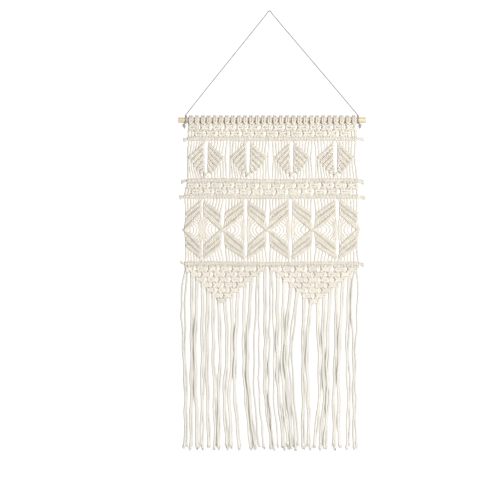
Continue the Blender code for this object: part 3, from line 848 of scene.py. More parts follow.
@dataclass
class Dowel:
    """The plain round rod, its ends slightly rounded."""

    radius: float = 5.0
    length: float = 342.0
    middle: float = 4.7
    sides: int = 64
    rounding: float = 0.9
    rounding_steps: int = 4
    sharp_degrees: float = 50.0

    def build(self, materials: dict[str, bpy.types.Material]) -> bpy.types.Object:
        """Turn the rod.

        Args:
            materials: the finishes by name.

        Returns:
            The rod.
        """
        bm = bmesh.new()
        bmesh.ops.create_cone(
            bm,
            cap_ends=True,
            segments=self.sides,
            radius1=self.radius * MM,
            radius2=self.radius * MM,
            depth=self.length * MM,
        )
        rims = [e for e in bm.edges if len(e.link_faces) == 2 and e.calc_face_angle() > 1.0]
        bmesh.ops.bevel(
            bm,
            geom=rims,
            offset=self.rounding * MM,
            segments=self.rounding_steps,
            profile=0.5,
            affect="EDGES",
            material=-1,
        )
        place = Matrix.Translation((self.middle * MM, 0.0, DOWEL_Z * MM))
        lying = Matrix.Rotation(math.pi / 2, 4, "Y")
        bmesh.ops.transform(bm, matrix=place @ lying, verts=bm.verts)
        mesh = bpy.data.meshes.new("rod")
        bm.to_mesh(mesh)
        bm.free()
        mesh.shade_smooth()
        mesh.set_sharp_from_angle(angle=math.radians(self.sharp_degrees))
        mesh.materials.append(materials[WOOD.name])
        return tie_to_frame("rod", mesh, ["dowel"])


@dataclass
class LarksHeads:
    """The row of lark's heads that mounts the doubled cords on the rod."""

    rope: Rope = Rope(radius=2.15, spacing=1.6)
    ride_radius: float = 7.15
    leg: float = 1.95
    bar_y: float = -7.9
    bar_z: float = -6.3
    foot_z: float = -209.0
    uneven_lift: float = 0.35
    stray: float = 0.4
    seed: int = 11

    def route(self, x: float, uneven: Callable[[float, float], float]) -> list[Vector]:
        """One cord's way up behind the bar, round the rod, across the front and back.

        Args:
            x: the middle of the head.
            uneven: gives a number between two limits.

        Returns:
            The places that it passes.
        """
        r = self.ride_radius
        lift = uneven(-self.uneven_lift, self.uneven_lift)
        one_side = [
            (2.75, CLOTH_Y, self.foot_z - DOWEL_Z),
            (2.3, -3.6, -8.6),
            (self.leg, -1.2, -r),
            (self.leg, 0.75 * r, -0.66 * r),
            (self.leg, r, 0.0),
            (self.leg, 0.71 * r, 0.71 * r),
            (self.leg, 0.0, r),
            (self.leg, -0.71 * r, 0.71 * r),
            (self.leg, -r, 0.0),
            (self.leg + 0.15, -7.5, -0.55 * r + lift),
            (self.leg - 0.2, self.bar_y, self.bar_z + 0.6 + lift),
        ]
        left = [Vector((x - off, y, DOWEL_Z + z)) for off, y, z in one_side]
        right = [Vector((x + off, y, DOWEL_Z + z)) for off, y, z in one_side]
        bight = Vector((x, self.bar_y - 0.1, DOWEL_Z + self.bar_z - 0.35 + lift))
        return [*left, bight, *right[::-1]]

    def build(self, materials: dict[str, bpy.types.Material]) -> bpy.types.Object:
        """Tie the row.

        Args:
            materials: the finishes by name.

        Returns:
            The row of heads.
        """
        work = Cordwork("larks_heads", COTTON, self.seed)
        pitch = (HEADS_RIGHT - HEADS_LEFT) / PAIRS
        for i in range(PAIRS):
            middle = HEADS_LEFT + (i + 0.5) * pitch + work.random.uniform(-self.stray, self.stray)
            work.lay(self.rope, self.route(middle, work.random.uniform))
        return work.finished(materials, "macrame")


@dataclass
class Bar:
    """A bar of double half hitches on a holding cord, with the cord's frayed ends."""

    line: BarLine
    seed: int
    hitches: Hitches = Hitches()
    core: Rope = Rope(radius=1.5, sides=2)
    yarn: Rope = Rope(radius=0.85, groove=0.75, sides=2, lay=6.0, spacing=1.0)
    yarns: int = 22
    wraps_per_cord: int = 2
    stretches: tuple = (0.75, 1.05)
    rooted: float = 1.5
    half_drop: float = 0.3
    fans: tuple = ((1.4, 1.7), (2.0, 3.1), (2.4, 4.0))  # out and up: inside the bar, half way, at the tip

    def tuft(self, work: Cordwork, side: Side) -> None:
        """Fray one end of the holding cord.

        Args:
            work: the piece that it goes in.
            side: which end.
        """
        line = self.line
        if side is Side.LEFT:
            root, reach, drop = line.place(0.0), line.left_reach, line.left_drop
        else:
            root, reach, drop = line.place(1.0), line.right_reach, line.right_drop
        uneven = work.random.uniform
        for _ in range(self.yarns):
            angle = uneven(0.0, 2 * math.pi)
            fan = math.sqrt(uneven(0.0, 1.0))
            up, out = math.sin(angle) * fan, math.cos(angle) * fan
            stretch = reach * uneven(*self.stretches)
            ahead = (-self.rooted, stretch * 0.5, stretch)
            places = zip(ahead, (0.0, drop * self.half_drop, drop), self.fans)
            stops = [(side.value * x, out * wide, up * tall - low) for x, low, (wide, tall) in places]
            work.lay(self.yarn, [root + Vector(stop) for stop in stops])

    def build(self, materials: dict[str, bpy.types.Material]) -> bpy.types.Object:
        """Tie the bar.

        Args:
            materials: the finishes by name.

        Returns:
            The bar.
        """
        work = Cordwork(self.line.name + "_hitches", COTTON, self.seed)
        wrap = self.hitches.wrap()
        count = CORDS * self.wraps_per_cord
        for i in range(count):
            place = self.line.place((i + 0.5) / count)
            ahead = self.line.place((i + 1.0) / count) - self.line.place(i / count)
            self.hitches.set_wrap(work, wrap, place, math.atan2(-ahead.z, ahead.x), ahead.length)
        bpy.data.meshes.remove(wrap)
        work.lay(self.core, [self.line.place(i / 8) for i in range(9)])
        for side in Side:
            self.tuft(work, side)
        return work.finished(materials, "macrame")


@dataclass
class KnotBand:
    """Two rows of alternating square knots between two lines of cord places."""

    name: str
    seed: int
    top: Callable[[float], Vector]
    foot: Callable[[float], Vector]
    knot: SquareKnot = SquareKnot()
    edge_rope: Rope = Rope(radius=2.5)
    gathered: float = 0.12

    def line(self, share_down: float, gather: float = 0.0) -> list[Vector]:
        """The places of all cords a share of the way down the band.

        Args:
            share_down: how far down the line is.
            gather: how far each cord is drawn to its neighbour in the next knot, between 0 and 1.

        Returns:
            The places, from left to right.
        """
        shares = [(i + 0.5 + gather * (i % 2 - 0.5)) / CORDS for i in range(CORDS)]
        return [self.top(s).lerp(self.foot(s), share_down) for s in shares]

    def build(self, materials: dict[str, bpy.types.Material]) -> bpy.types.Object:
        """Tie the band.

        Args:
            materials: the finishes by name.

        Returns:
            The band.
        """
        work = Cordwork(self.name, COTTON, self.seed)
        lines = [self.line(0.0), self.line(0.5, self.gathered), self.line(1.0)]
        for row, first in enumerate((0, 2)):
            above, below = lines[row], lines[row + 1]
            for i in range(first, CORDS - 3, 4):
                places = above[i : i + 4], below[i : i + 4]
                centre = sum((p for four_places in places for p in four_places), Vector()) / 8
                side = Side.LEFT if (i // 2) % 4 < 2 else Side.RIGHT
                self.knot.tie(work, centre, *places, side)
            for i in (*range(first), *range(CORDS - first, CORDS)):
                work.lay(self.edge_rope, [above[i], below[i]])
        return work.finished(materials, "macrame")


@dataclass
class Leaf:
    """One leaf: two halves of six hitched ribs each, with the strands above and below them."""

    name: str
    seed: int
    left_tip: float
    slit: float
    right_tip: float
    first_cord: int
    ribs: int = 6
    tip_z: float = -263.4
    foot_z: float = -299.8
    first_rib_z: float = -244.9
    rib_rise: float = 10.9
    half_slit: float = 2.7
    foot_drop: float = 9.5
    slit_top: float = 1.0
    tuck: float = 1.2
    fall: float = 1.35
    hitches: Hitches = Hitches(ring_radius=2.45)
    strand: Rope = Rope(radius=1.85)
    closing: Crossing = Crossing(5.0, 3.6, Rope(radius=2.1))
    closed: float = 2.0
    bypass: float = 1.8
    bypass_share: float = 0.6
    bypass_back: float = 0.8
    reach: float = 1.0

    def edges(self, side: Side) -> tuple[list[Vector], list[Vector]]:
        """The grooves' ends on the outside and at the slit of one half.

        Args:
            side: which half.

        Returns:
            The outer ends and the slit ends, from the top down.
        """
        tip = self.left_tip if side is Side.LEFT else self.right_tip
        inner_x = self.slit + side.value * self.half_slit
        roof_z = BAR_1.place((self.first_cord + HALF_REPEAT) / CORDS).z - BAR_1.height / 2 - self.slit_top
        foot = Vector((self.slit, CLOTH_Y, self.foot_z))
        outer = [Vector((tip + side.value * self.reach, CLOTH_Y, self.tip_z))]
        inner = [Vector((inner_x, CLOTH_Y, roof_z))]
        for k in range(1, self.ribs):
            share = k / self.ribs
            x = mix(tip, inner_x, share**self.tuck)
            z = mix(self.tip_z, self.foot_z, 1 - (1 - share) ** self.fall)
            outer.append(Vector((x, CLOTH_Y, z)))
            if k == self.ribs - 1:
                inner.append(Vector((self.slit, CLOTH_Y, self.foot_z + self.foot_drop)))
            else:
                inner.append(Vector((inner_x, CLOTH_Y, self.first_rib_z - (k - 1) * self.rib_rise)))
        return outer + [foot], inner + [foot]

    def build(self, materials: dict[str, bpy.types.Material]) -> bpy.types.Object:
        """Tie the leaf.

        Args:
            materials: the finishes by name.

        Returns:
            The leaf with its strands.
        """
        work = Cordwork(self.name, COTTON, self.seed)
        wrap = self.hitches.wrap()
        for side in Side:
            outer, inner = self.edges(side)
            outer_axis = [(a + b) / 2 for a, b in zip(outer, outer[1:])]
            inner_axis = [(a + b) / 2 for a, b in zip(inner, inner[1:])]
            ends = (outer_axis, inner_axis) if side is Side.LEFT else (inner_axis, outer_axis)
            self.hitches.field(work, wrap, list(zip(*ends)), [side.other], free=1)
            self.hang_strands(work, side, outer_axis, inner_axis)
        self.closing.tie(work, Vector((self.slit, CLOTH_Y, self.foot_z + self.closed)), list(Side))
        bpy.data.meshes.remove(wrap)
        return work.finished(materials, "macrame")

    def hang_strands(self, work: Cordwork, side: Side, outer: list[Vector], inner: list[Vector]) -> None:
        """Hang the strands of one half, from bar to top rib and from the ribs' ends to the next bar.

        Args:
            work: the piece that they go in.
            side: which half.
            outer: the outer ends of the ribs' axes.
            inner: their ends at the slit.
        """
        starts = [outer[0].lerp(inner[0], (i + 0.5) / self.ribs) for i in range(self.ribs)]
        cords = [self.first_cord + i for i in range(HALF_REPEAT)]
        if side is Side.RIGHT:
            cords = [self.first_cord + 2 * HALF_REPEAT - 1 - i for i in range(HALF_REPEAT)]
        top, foot = BAR_1.cord(cords[0]), BAR_2.cord(cords[0])
        out = max(self.bypass, self.bypass_share * side.value * ((top.x + foot.x) / 2 - outer[0].x))
        tip = outer[0] + Vector((side.value * out, self.bypass_back, 0.0))
        over = hanging_route(top, tip, work.random)
        work.lay(self.strand, over + hanging_route(tip, foot, work.random)[1:])
        for cord, top, foot in zip(cords[1:], starts, outer):
            work.lay(self.strand, hanging_route(BAR_1.cord(cord), top, work.random))
            work.lay(self.strand, hanging_route(foot, BAR_2.cord(cord), work.random))


def hanging_route(
    top: Vector,
    foot: Vector,
    rng: random.Random,
    bow: float = 0.5,
    ease: float = 0.7,
) -> list[Vector]:
    """A nearly straight way down that leaves and enters its knots upright.

    Args:
        top: where it starts.
        foot: where it ends.
        rng: where its unevenness comes from.
        bow: how far it may stray, in millimetres.
        ease: how far it keeps upright at its ends, between 0 and 1.

    Returns:
        The places that it passes.
    """
    drop = top.z - foot.z
    route = []
    for share in (0.0, 0.25, 0.5, 0.75, 1.0):
        eased = share * share * (3 - 2 * share)
        x = mix(top.x, foot.x, mix(share, eased, ease))
        inside = math.sin(math.pi * share)
        stray = Vector((rng.uniform(-bow, bow), rng.uniform(-bow, bow), 0.0)) * inside
        route.append(Vector((x, mix(top.y, foot.y, share), top.z - drop * share)) + stray)
    return route


@dataclass
class Diamonds:
    """Four repeats of crossed ribbed bands, with the strands that ripple round their crossings."""

    rows: tuple = (  # left crossing, slit, right crossing, half the slit, gap from the slit to the last arc
        (-156.0, -121.6, -84.6, 0.9, 1.2),
        (-84.6, -42.3, -2.6, 2.3, 2.5),
        (-2.6, 38.9, 80.2, 2.3, 1.8),
        (80.2, 124.2, 163.9, 2.4, 1.9),
    )
    crossing_z: float = -397.6
    outer_gap: float = 2.5
    meeting: float = 0.2
    crossed: float = -2.0
    outer_rises: tuple = (26.4, 14.9)
    slit_rises: tuple = (51.6, 43.1, 32.6)
    edge_rise: float = 26.5
    reach: float = 8.6
    hole_share: float = 0.10
    tucked: float = 8.5
    tucked_back: float = 0.6
    seed: int = 60
    arc_shares: tuple = (0.37, 0.58, 0.735, 0.88, 0.945, 0.98, 1.0)
    arc_stops: int = 9
    hitches: Hitches = Hitches(ring_radius=2.6)
    strand: Rope = Rope(radius=1.9)
    ripple: Rope = Rope(radius=1.75)
    crossing: Crossing = Crossing(6.5, 5.0)

    def ribs(self, crossing: float, side: Side, inner_x: float, up: int) -> list[tuple[Vector, Vector]]:
        """The axes of the three ribs of one band, from the crossing to the slit.

        Args:
            crossing: x of the crossing.
            side: on which side of it the band lies.
            inner_x: x of the slit's edge.
            up: 1 above the crossing, -1 below it.

        Returns:
            Start and end of each rib, from the bar's side to the inner one.
        """
        starts = [(crossing + side.value * self.outer_gap, rise) for rise in self.outer_rises]
        starts.append((crossing, self.crossed))
        ribs = []
        for (x, rise), slit_rise in zip(starts, self.slit_rises):
            start = Vector((x, CLOTH_Y, self.crossing_z + up * rise))
            ribs.append((start, Vector((inner_x, CLOTH_Y, self.crossing_z + up * slit_rise))))
        return ribs

    def arc(self, k: int, crossing: float, side: Side, inner_x: float, far_x: float) -> list[Vector]:
        """The way of strand k round its crossing.

        Args:
            k: which strand, counted from the crossing.
            crossing: x of the crossing.
            side: on which side of it the strand runs.
            inner_x: x of the slit's edge.
            far_x: x that the strand at the slit reaches.

        Returns:
            The places that it passes, from inside the upper band to inside the lower.
        """
        share = mix(self.hole_share, 1.0, (k + 0.5) / HALF_REPEAT)
        end_x = mix(crossing + side.value * self.reach, inner_x, share)
        middle_x = mix(crossing, far_x, self.arc_shares[k])
        height = self.edge_rise * share
        route = []
        for n in range(self.arc_stops):
            step = 1.0 - 2 * n / (self.arc_stops - 1)
            x = mix(middle_x, end_x, step * step)
            route.append(Vector((x, CLOTH_Y, self.crossing_z + step * height)))
        up, down = (Vector((0.0, self.tucked_back, sign * self.tucked)) for sign in (1, -1))
        return [route[0] + up, *route, route[-1] + down]

    def build(self, materials: dict[str, bpy.types.Material]) -> list[bpy.types.Object]:
        """Tie the four repeats.

        Args:
            materials: the finishes by name.

        Returns:
            One piece for each repeat.
        """
        wrap = self.hitches.wrap()
        made = []
        for i, (left, slit, right, half_slit, arc_gap) in enumerate(self.rows):
            work = Cordwork(f"diamond_{i + 1}", COTTON, self.seed + i)
            for side, crossing in ((Side.RIGHT, left), (Side.LEFT, right)):
                first = (2 * i + (side is Side.LEFT)) * HALF_REPEAT
                self.half(work, wrap, crossing, side, slit, half_slit, first)
                inner_x, far_x = (slit - side.value * gap for gap in (half_slit, arc_gap))
                for k in range(HALF_REPEAT):
                    work.lay(self.ripple, self.arc(k, crossing, side, inner_x, far_x))
            sides = list(Side) if i else [Side.RIGHT]
            self.crossing.tie(work, Vector((left, CLOTH_Y, self.crossing_z)), sides)
            if i == len(self.rows) - 1:
                self.crossing.tie(work, Vector((right, CLOTH_Y, self.crossing_z)), [Side.LEFT])
            made.append(work.finished(materials, "macrame"))
        bpy.data.meshes.remove(wrap)
        return made

    def half(
        self,
        work: Cordwork,
        wrap: bpy.types.Mesh,
        crossing: float,
        side: Side,
        slit: float,
        half_slit: float,
        first: int,
    ) -> None:
        """Tie the bands between one crossing and the slit, and the strands from the bars to them.

        Args:
            work: the piece that they go in.
            wrap: one wrap round the x axis.
            crossing: x of the crossing.
            side: on which side of it they lie.
            slit: x of the slit.
            half_slit: half the slit's breadth.
            first: number of the first cord from the left.
        """
        for up, bar in ((1, BAR_3), (-1, BAR_4)):
            ribs = self.ribs(crossing, side, slit - side.value * half_slit, up)
            if up < 0:
                ribs[0][1].x = slit - side.value * self.meeting
            ordered = [rib[:: side.value] for rib in ribs]
            self.hitches.field(work, wrap, ordered, [side, side.other], free=1)
            roots = [ribs[0][0].lerp(ribs[0][1], (i + 0.5) / HALF_REPEAT) for i in range(HALF_REPEAT)]
            if side is Side.LEFT:
                roots = roots[::-1]
            for i, root in enumerate(roots):
                cord = bar.cord(first + i)
                top, foot = (cord, root) if up > 0 else (root, cord)
                work.lay(self.strand, hanging_route(top, foot, work.random))


@dataclass
class Point:
    """A point of alternating square knots under the last bar."""

    name: str
    seed: int
    first_cord: int
    tip_x: float
    rows: int = 7
    row_height: float = 9.6
    touching: float = 2.4
    knot: SquareKnot = SquareKnot()

    def grid(self) -> list[list[float]]:
        """x of each pair boundary, for each line between the rows."""
        start = [BAR_4.x((self.first_cord + 2 * j) / CORDS) for j in range(2 * self.rows + 1)]
        shift = self.tip_x - start[self.rows]
        return [[x + shift * r / self.rows for x in start] for r in range(self.rows + 1)]

    def top_z(self) -> float:
        """The height at which the first row starts."""
        return BAR_4.place(self.first_cord / CORDS).z - BAR_4.height / 2

    def edges(self) -> list[Vector]:
        """The places down the left edge and up the right one, where the fringe's cords leave."""
        grid = self.grid()
        left, right = [], []
        for r in range(self.rows):
            first, last = r, 2 * self.rows - r
            z_top = self.top_z() - self.row_height * r
            inner_left = (grid[r][first] + grid[r + 1][first + 1]) / 2
            inner_right = (grid[r][last] + grid[r + 1][last - 1]) / 2
            left += four([grid[r][first]], z_top) + four([inner_left], z_top - self.row_height / 2)
            right += four([grid[r][last]], z_top) + four([inner_right], z_top - self.row_height / 2)
        tip = four([grid[-1][self.rows]], self.top_z() - self.row_height * self.rows)
        return left + tip + right[::-1]

    def build(self, materials: dict[str, bpy.types.Material]) -> bpy.types.Object:
        """Tie the point.

        Args:
            materials: the finishes by name.

        Returns:
            The point.
        """
        work = Cordwork(self.name, COTTON, self.seed)
        grid = self.grid()
        for r in range(self.rows):
            top = self.top_z() - self.row_height * r
            foot = top - self.row_height
            for n, j in enumerate(range(r, 2 * self.rows - r, 2)):
                above, below = [], []
                for pair in (j, j + 1):
                    inside = self.touching if r else (grid[0][pair + 1] - grid[0][pair]) / 4
                    above += [grid[r][pair] + inside, grid[r][pair + 1] - inside]
                    if pair in (r, 2 * self.rows - r - 1):
                        falling = pair > self.rows - 1
                        loose = (grid[r][pair + falling] + grid[r + 1][pair + (not falling)]) / 2
                        below += [loose - Fringe.root_gap / 2, loose + Fringe.root_gap / 2]
                    else:
                        below += [grid[r + 1][pair] + self.touching, grid[r + 1][pair + 1] - self.touching]
                centre = Vector((sum(above + below) / 8, CLOTH_Y, (top + foot) / 2))
                side = Side.LEFT if (n + r) % 2 else Side.RIGHT
                self.knot.tie(work, centre, four(above, top), four(below, foot), side)
        return work.finished(materials, "macrame")


@dataclass
class Fringe:
    """The loose ends of all cords, two by two, with their cut tips."""

    rope: Rope = Rope(radius=2.25)
    yarn: Rope = Rope(radius=0.72, groove=0.75, sides=2, lay=5.0, spacing=1.1)
    yarns: int = 9
    fan: float = 2.9
    yarn_root: float = 3.0  # how far inside the strand a yarn starts
    yarn_reaches: tuple = (1.5, 5.0)
    root_fan: float = 0.4
    end_fan: float = 0.8
    heights: tuple = (-616.0, -698.0, -787.0)
    end_z: float = -791.5
    end_swing: float = 4.0
    end_turn: float = 2.4
    depth: float = 1.55
    arch_drop: float = 8.0
    root_lift: float = 5.0
    root_gap: float = 3.2
    wave: float = 0.9
    wave_lengths: tuple = (55.0, 95.0)
    stray: float = 0.6
    root_back: float = 0.8
    root_drop: float = 1.0
    guide_spacing: float = 6.0
    stops: int = 15
    seed: int = 90
    bulge_z: float = -516.0
    bulges: dict = field(default_factory=lambda: {0: (-155.9, 6.9), PAIRS - 1: (155.0, 12.6)})
    pairs: tuple = (  # x at the three heights, and how far apart the two strands hang
        (-154.9, -151.6, -152.5, 3.4),
        (-140.9, -141.6, -142.5, 3.0),
        (-134.9, -133.4, -130.7, 2.6),
        (-121.6, -121.6, -122.5, 3.8),
        (-112.9, -112.0, -109.8, 3.4),
        (-101.6, -99.3, -98.0, 3.2),
        (-88.9, -91.6, -91.6, 3.0),
        (-76.5, -81.6, -77.1, 3.2),
        (-67.4, -72.9, -68.9, 2.4),
        (-61.8, -62.5, -54.4, 2.6),
        (-46.2, -42.5, -33.5, 3.4),
        (-39.6, -36.5, -26.2, 2.8),
        (-22.9, -22.5, -14.5, 9.0),
        (-7.1, -7.1, 4.7, 3.4),
        (4.4, 3.8, 12.0, 9.0),
        (14.7, 17.5, 26.5, 3.6),
        (23.5, 26.5, 33.8, 2.6),
        (29.1, 33.8, 41.1, 3.0),
        (39.3, 42.9, 50.2, 5.0),
        (61.6, 62.0, 61.1, 3.6),
        (68.7, 71.1, 72.0, 2.8),
        (90.5, 91.6, 82.0, 3.4),
        (98.0, 100.2, 92.5, 3.4),
        (105.8, 106.5, 101.1, 3.6),
        (120.7, 117.4, 118.4, 3.2),
        (127.1, 126.0, 127.4, 2.8),
        (142.0, 144.7, 142.0, 4.2),
        (154.7, 154.7, 155.6, 4.6),
    )

    def route(self, i: int, root: Vector, rng: random.Random) -> list[Vector]:
        """The way of one strand from its knot to its cut end.

        Args:
            i: which strand, from the left.
            root: where it leaves the cloth.
            rng: where its waves come from.

        Returns:
            The places that it passes.
        """
        upper, middle, lower, spread = self.pairs[i // 2]
        side = -1 if i % 2 == 0 else 1
        shift = side * spread / 2
        across = [root.x, upper + shift, middle + shift, lower + shift]
        heights = [root.z, *self.heights]
        if i // 2 in self.bulges:
            centre, apart = self.bulges[i // 2]
            across.insert(1, centre + side * apart / 2)
            heights.insert(1, self.bulge_z)
        guide = smooth_route([(x, 0.0, z) for x, z in zip(across, heights)], self.guide_spacing)
        zs = [-p.z for p in guide]
        xs = [p.x for p in guide]
        end = self.end_z + self.end_swing * math.sin(self.end_turn * i)
        phase, length = rng.uniform(0.0, ANY_ANGLE), rng.uniform(*self.wave_lengths)
        route = [root + Vector((0.0, self.root_back, self.root_lift))]
        for step in range(self.stops + 1):
            share = step / self.stops
            z = mix(root.z - self.root_drop, end, share)
            loose = min(1.0, 5.0 * share)
            sway = self.wave * loose * math.sin(2 * math.pi * z / length + phase)
            back = side * self.depth * min(1.0, 0.35 + 4.0 * share)
            stray = self.stray * loose * math.sin(2 * math.pi * z / (0.7 * length) + 2 * phase)
            route.append(Vector((float(np.interp(-z, zs, xs)) + sway, CLOTH_Y + back + stray, z)))
        return route

    def tips(self, work: Cordwork, route: list[Vector]) -> None:
        """Let the yarns of a cut end stand apart.

        Args:
            work: the piece that they go in.
            route: the strand's way.
        """
        end, before = route[-1], route[-2]
        aim = (end - before).normalized()
        uneven = work.random.uniform
        for _ in range(self.yarns):
            angle = uneven(0.0, 2 * math.pi)
            out = Vector((math.cos(angle), math.sin(angle), 0.0)) * self.fan * uneven(*FANNED)
            tip = end + aim * uneven(*self.yarn_reaches) + out
            root = end - aim * self.yarn_root + out * self.root_fan
            work.lay(self.yarn, [root, end + out * self.end_fan, tip])

    def build(self, materials: dict[str, bpy.types.Material], roots: list[Vector]) -> list[bpy.types.Object]:
        """Hang the fringe.

        Args:
            materials: the finishes by name.
            roots: the places along the cloth's lower edge.

        Returns:
            Its left half and its right half.
        """
        made = []
        for half, name in enumerate(("fringe_left", "fringe_right")):
            # the fringe takes the copy of the cotton that is darkened as painted shade
            work = Cordwork(name, LOOSE_SHADED, self.seed + half)
            for i in range(half * PAIRS, (half + 1) * PAIRS):
                first = i - i % 2
                root = (roots[first] + 2 * roots[first + 1] + roots[first + 2]) / 4
                root.x += self.root_gap * (i % 2 - 0.5)
                route = self.route(i, root, work.random)
                work.lay(self.rope, route, flare)
                self.tips(work, route)
            made.append(work.finished(materials, "fringe"))
        return made


@dataclass
class HangingTwine:
    """The thin twine from one end of the rod over its apex to the other end."""

    radius: float = 1.0
    seed: int = 5
    route: tuple = (
        (-152.6, -188.9),
        (-112.0, -137.6),
        (-68.0, -82.9),
        (-26.0, -30.7),
        (-8.0, -8.3),
        (0.0, 1.0),
        (8.4, -8.3),
        (27.5, -30.7),
        (71.8, -82.9),
        (118.2, -137.6),
        (161.2, -188.9),
    )

    def rope(self) -> Rope:
        """The twine's own lay."""
        return Rope(radius=self.radius * 1.06, groove=0.86, lay=5.5, spacing=0.95)

    def build(
        self,
        materials: dict[str, bpy.types.Material],
        ties: list[bpy.types.Object],
    ) -> bpy.types.Object:
        """Args:
            materials: the finishes by name.
            ties: the pieces at its two ends; not used.

        Returns:
            The twine.
        """
        stops = [(x, 0.0, z) for x, z in self.route]
        work = Cordwork("twine", TWINE, self.seed)
        work.lay(self.rope(), stops)
        made = work.finished(materials, "hanging_cord")
        path = [p * MM for p in smooth_route(stops, self.rope().spacing)]
        2 * self.radius * MM
        return made


@dataclass
class Tie:
    """The twine's turns round one end of the rod, with its knot on top and its cut tail below."""

    side: Side
    x: float
    seed: int
    inward: float = -0.3
    rope: Rope = Rope(radius=0.85, groove=0.84, lay=5.0, spacing=0.9)
    yarn: Rope = Rope(radius=0.35, groove=0.75, sides=2, lay=4.0, spacing=0.8)
    yarns: int = 14
    turn_radius: float = 6.0
    turn_offset: float = 1.1
    turn_stops: int = 24
    knot_height: float = 7.9
    knot_radius: float = 1.2
    knot_swing: float = 0.25
    knot_lift: float = 1.1
    knot_lobes: float = 1.5
    knot_stops: int = 12
    tail_z: float = -9.5
    tail_fan: float = 3.8
    tail_drop: float = 6.5
    tail_drops: tuple = (0.5, 1.0)
    tail_flat: float = 0.7  # depth of the fan against its breadth
    tail_root: float = 3.0
    root_fan: float = 0.4
    tip_fan: float = 0.6

    def build(self, materials: dict[str, bpy.types.Material]) -> bpy.types.Object:
        """Tie the twine on.

        Args:
            materials: the finishes by name.

        Returns:
            The tie.
        """
        name = f"tie_{self.side.name.lower()}"
        work = Cordwork(name + "_twine", TWINE, self.seed)
        work.lay(self.rope, self.turns())
        work.lay(self.rope, self.knot())
        tail = self.tail()
        work.lay(self.rope, tail, flare)
        self.fray(work, tail[-1])
        return work.finished(materials, name)

    def fray(self, work: Cordwork, end: Vector) -> None:
        """Let the yarns of the cut end stand apart.

        Args:
            work: the piece that they go in.
            end: where the twine is cut.
        """
        uneven = work.random.uniform
        for _ in range(self.yarns):
            angle, fan = uneven(0.0, ANY_ANGLE), uneven(*FANNED)
            out = Vector((math.cos(angle), self.tail_flat * math.sin(angle), 0.0)) * fan
            start = end + out * self.root_fan + Vector((0.0, 0.0, self.tail_root))
            tip = end + out * self.tail_fan * self.tip_fan
            tip.z -= self.tail_drop * uneven(*self.tail_drops)
            work.lay(self.yarn, [start, end + out * self.tail_fan, tip])

    def turns(self) -> list[Vector]:
        """Two turns side by side round the rod."""
        stops = []
        for i in range(self.turn_stops + 1):
            angle = 4 * math.pi * i / self.turn_stops
            x = self.x + self.side.value * self.turn_offset * (1.0 - 2 * i / self.turn_stops)
            r = self.turn_radius
            stops.append(Vector((x, r * math.sin(angle), DOWEL_Z + r * math.cos(angle))))
        return stops

    def knot(self) -> list[Vector]:
        """A small overhand knot that gathers the twine over the rod."""
        centre = Vector((self.x + self.inward, 0.0, DOWEL_Z + self.knot_height))
        stops = []
        for i in range(self.knot_stops + 1):
            angle = 4 * math.pi * i / self.knot_stops
            r = self.knot_radius + self.knot_swing * math.cos(self.knot_lobes * angle)
            lift = self.knot_lift * math.sin(self.knot_lobes * angle)
            stops.append(centre + Vector((r * math.cos(angle), r * math.sin(angle), lift)))
        return stops

    def tail(self) -> list[Vector]:
        """The short cut end under the rod."""
        places = ((0.0, -6.0, -1.5), (0.6, -6.1, -4.6), (2.3, -4.6, -7.2), (3.2, -4.0, self.tail_z))
        return [Vector((self.x + self.side.value * dx, y, DOWEL_Z + z)) for dx, y, z in places]


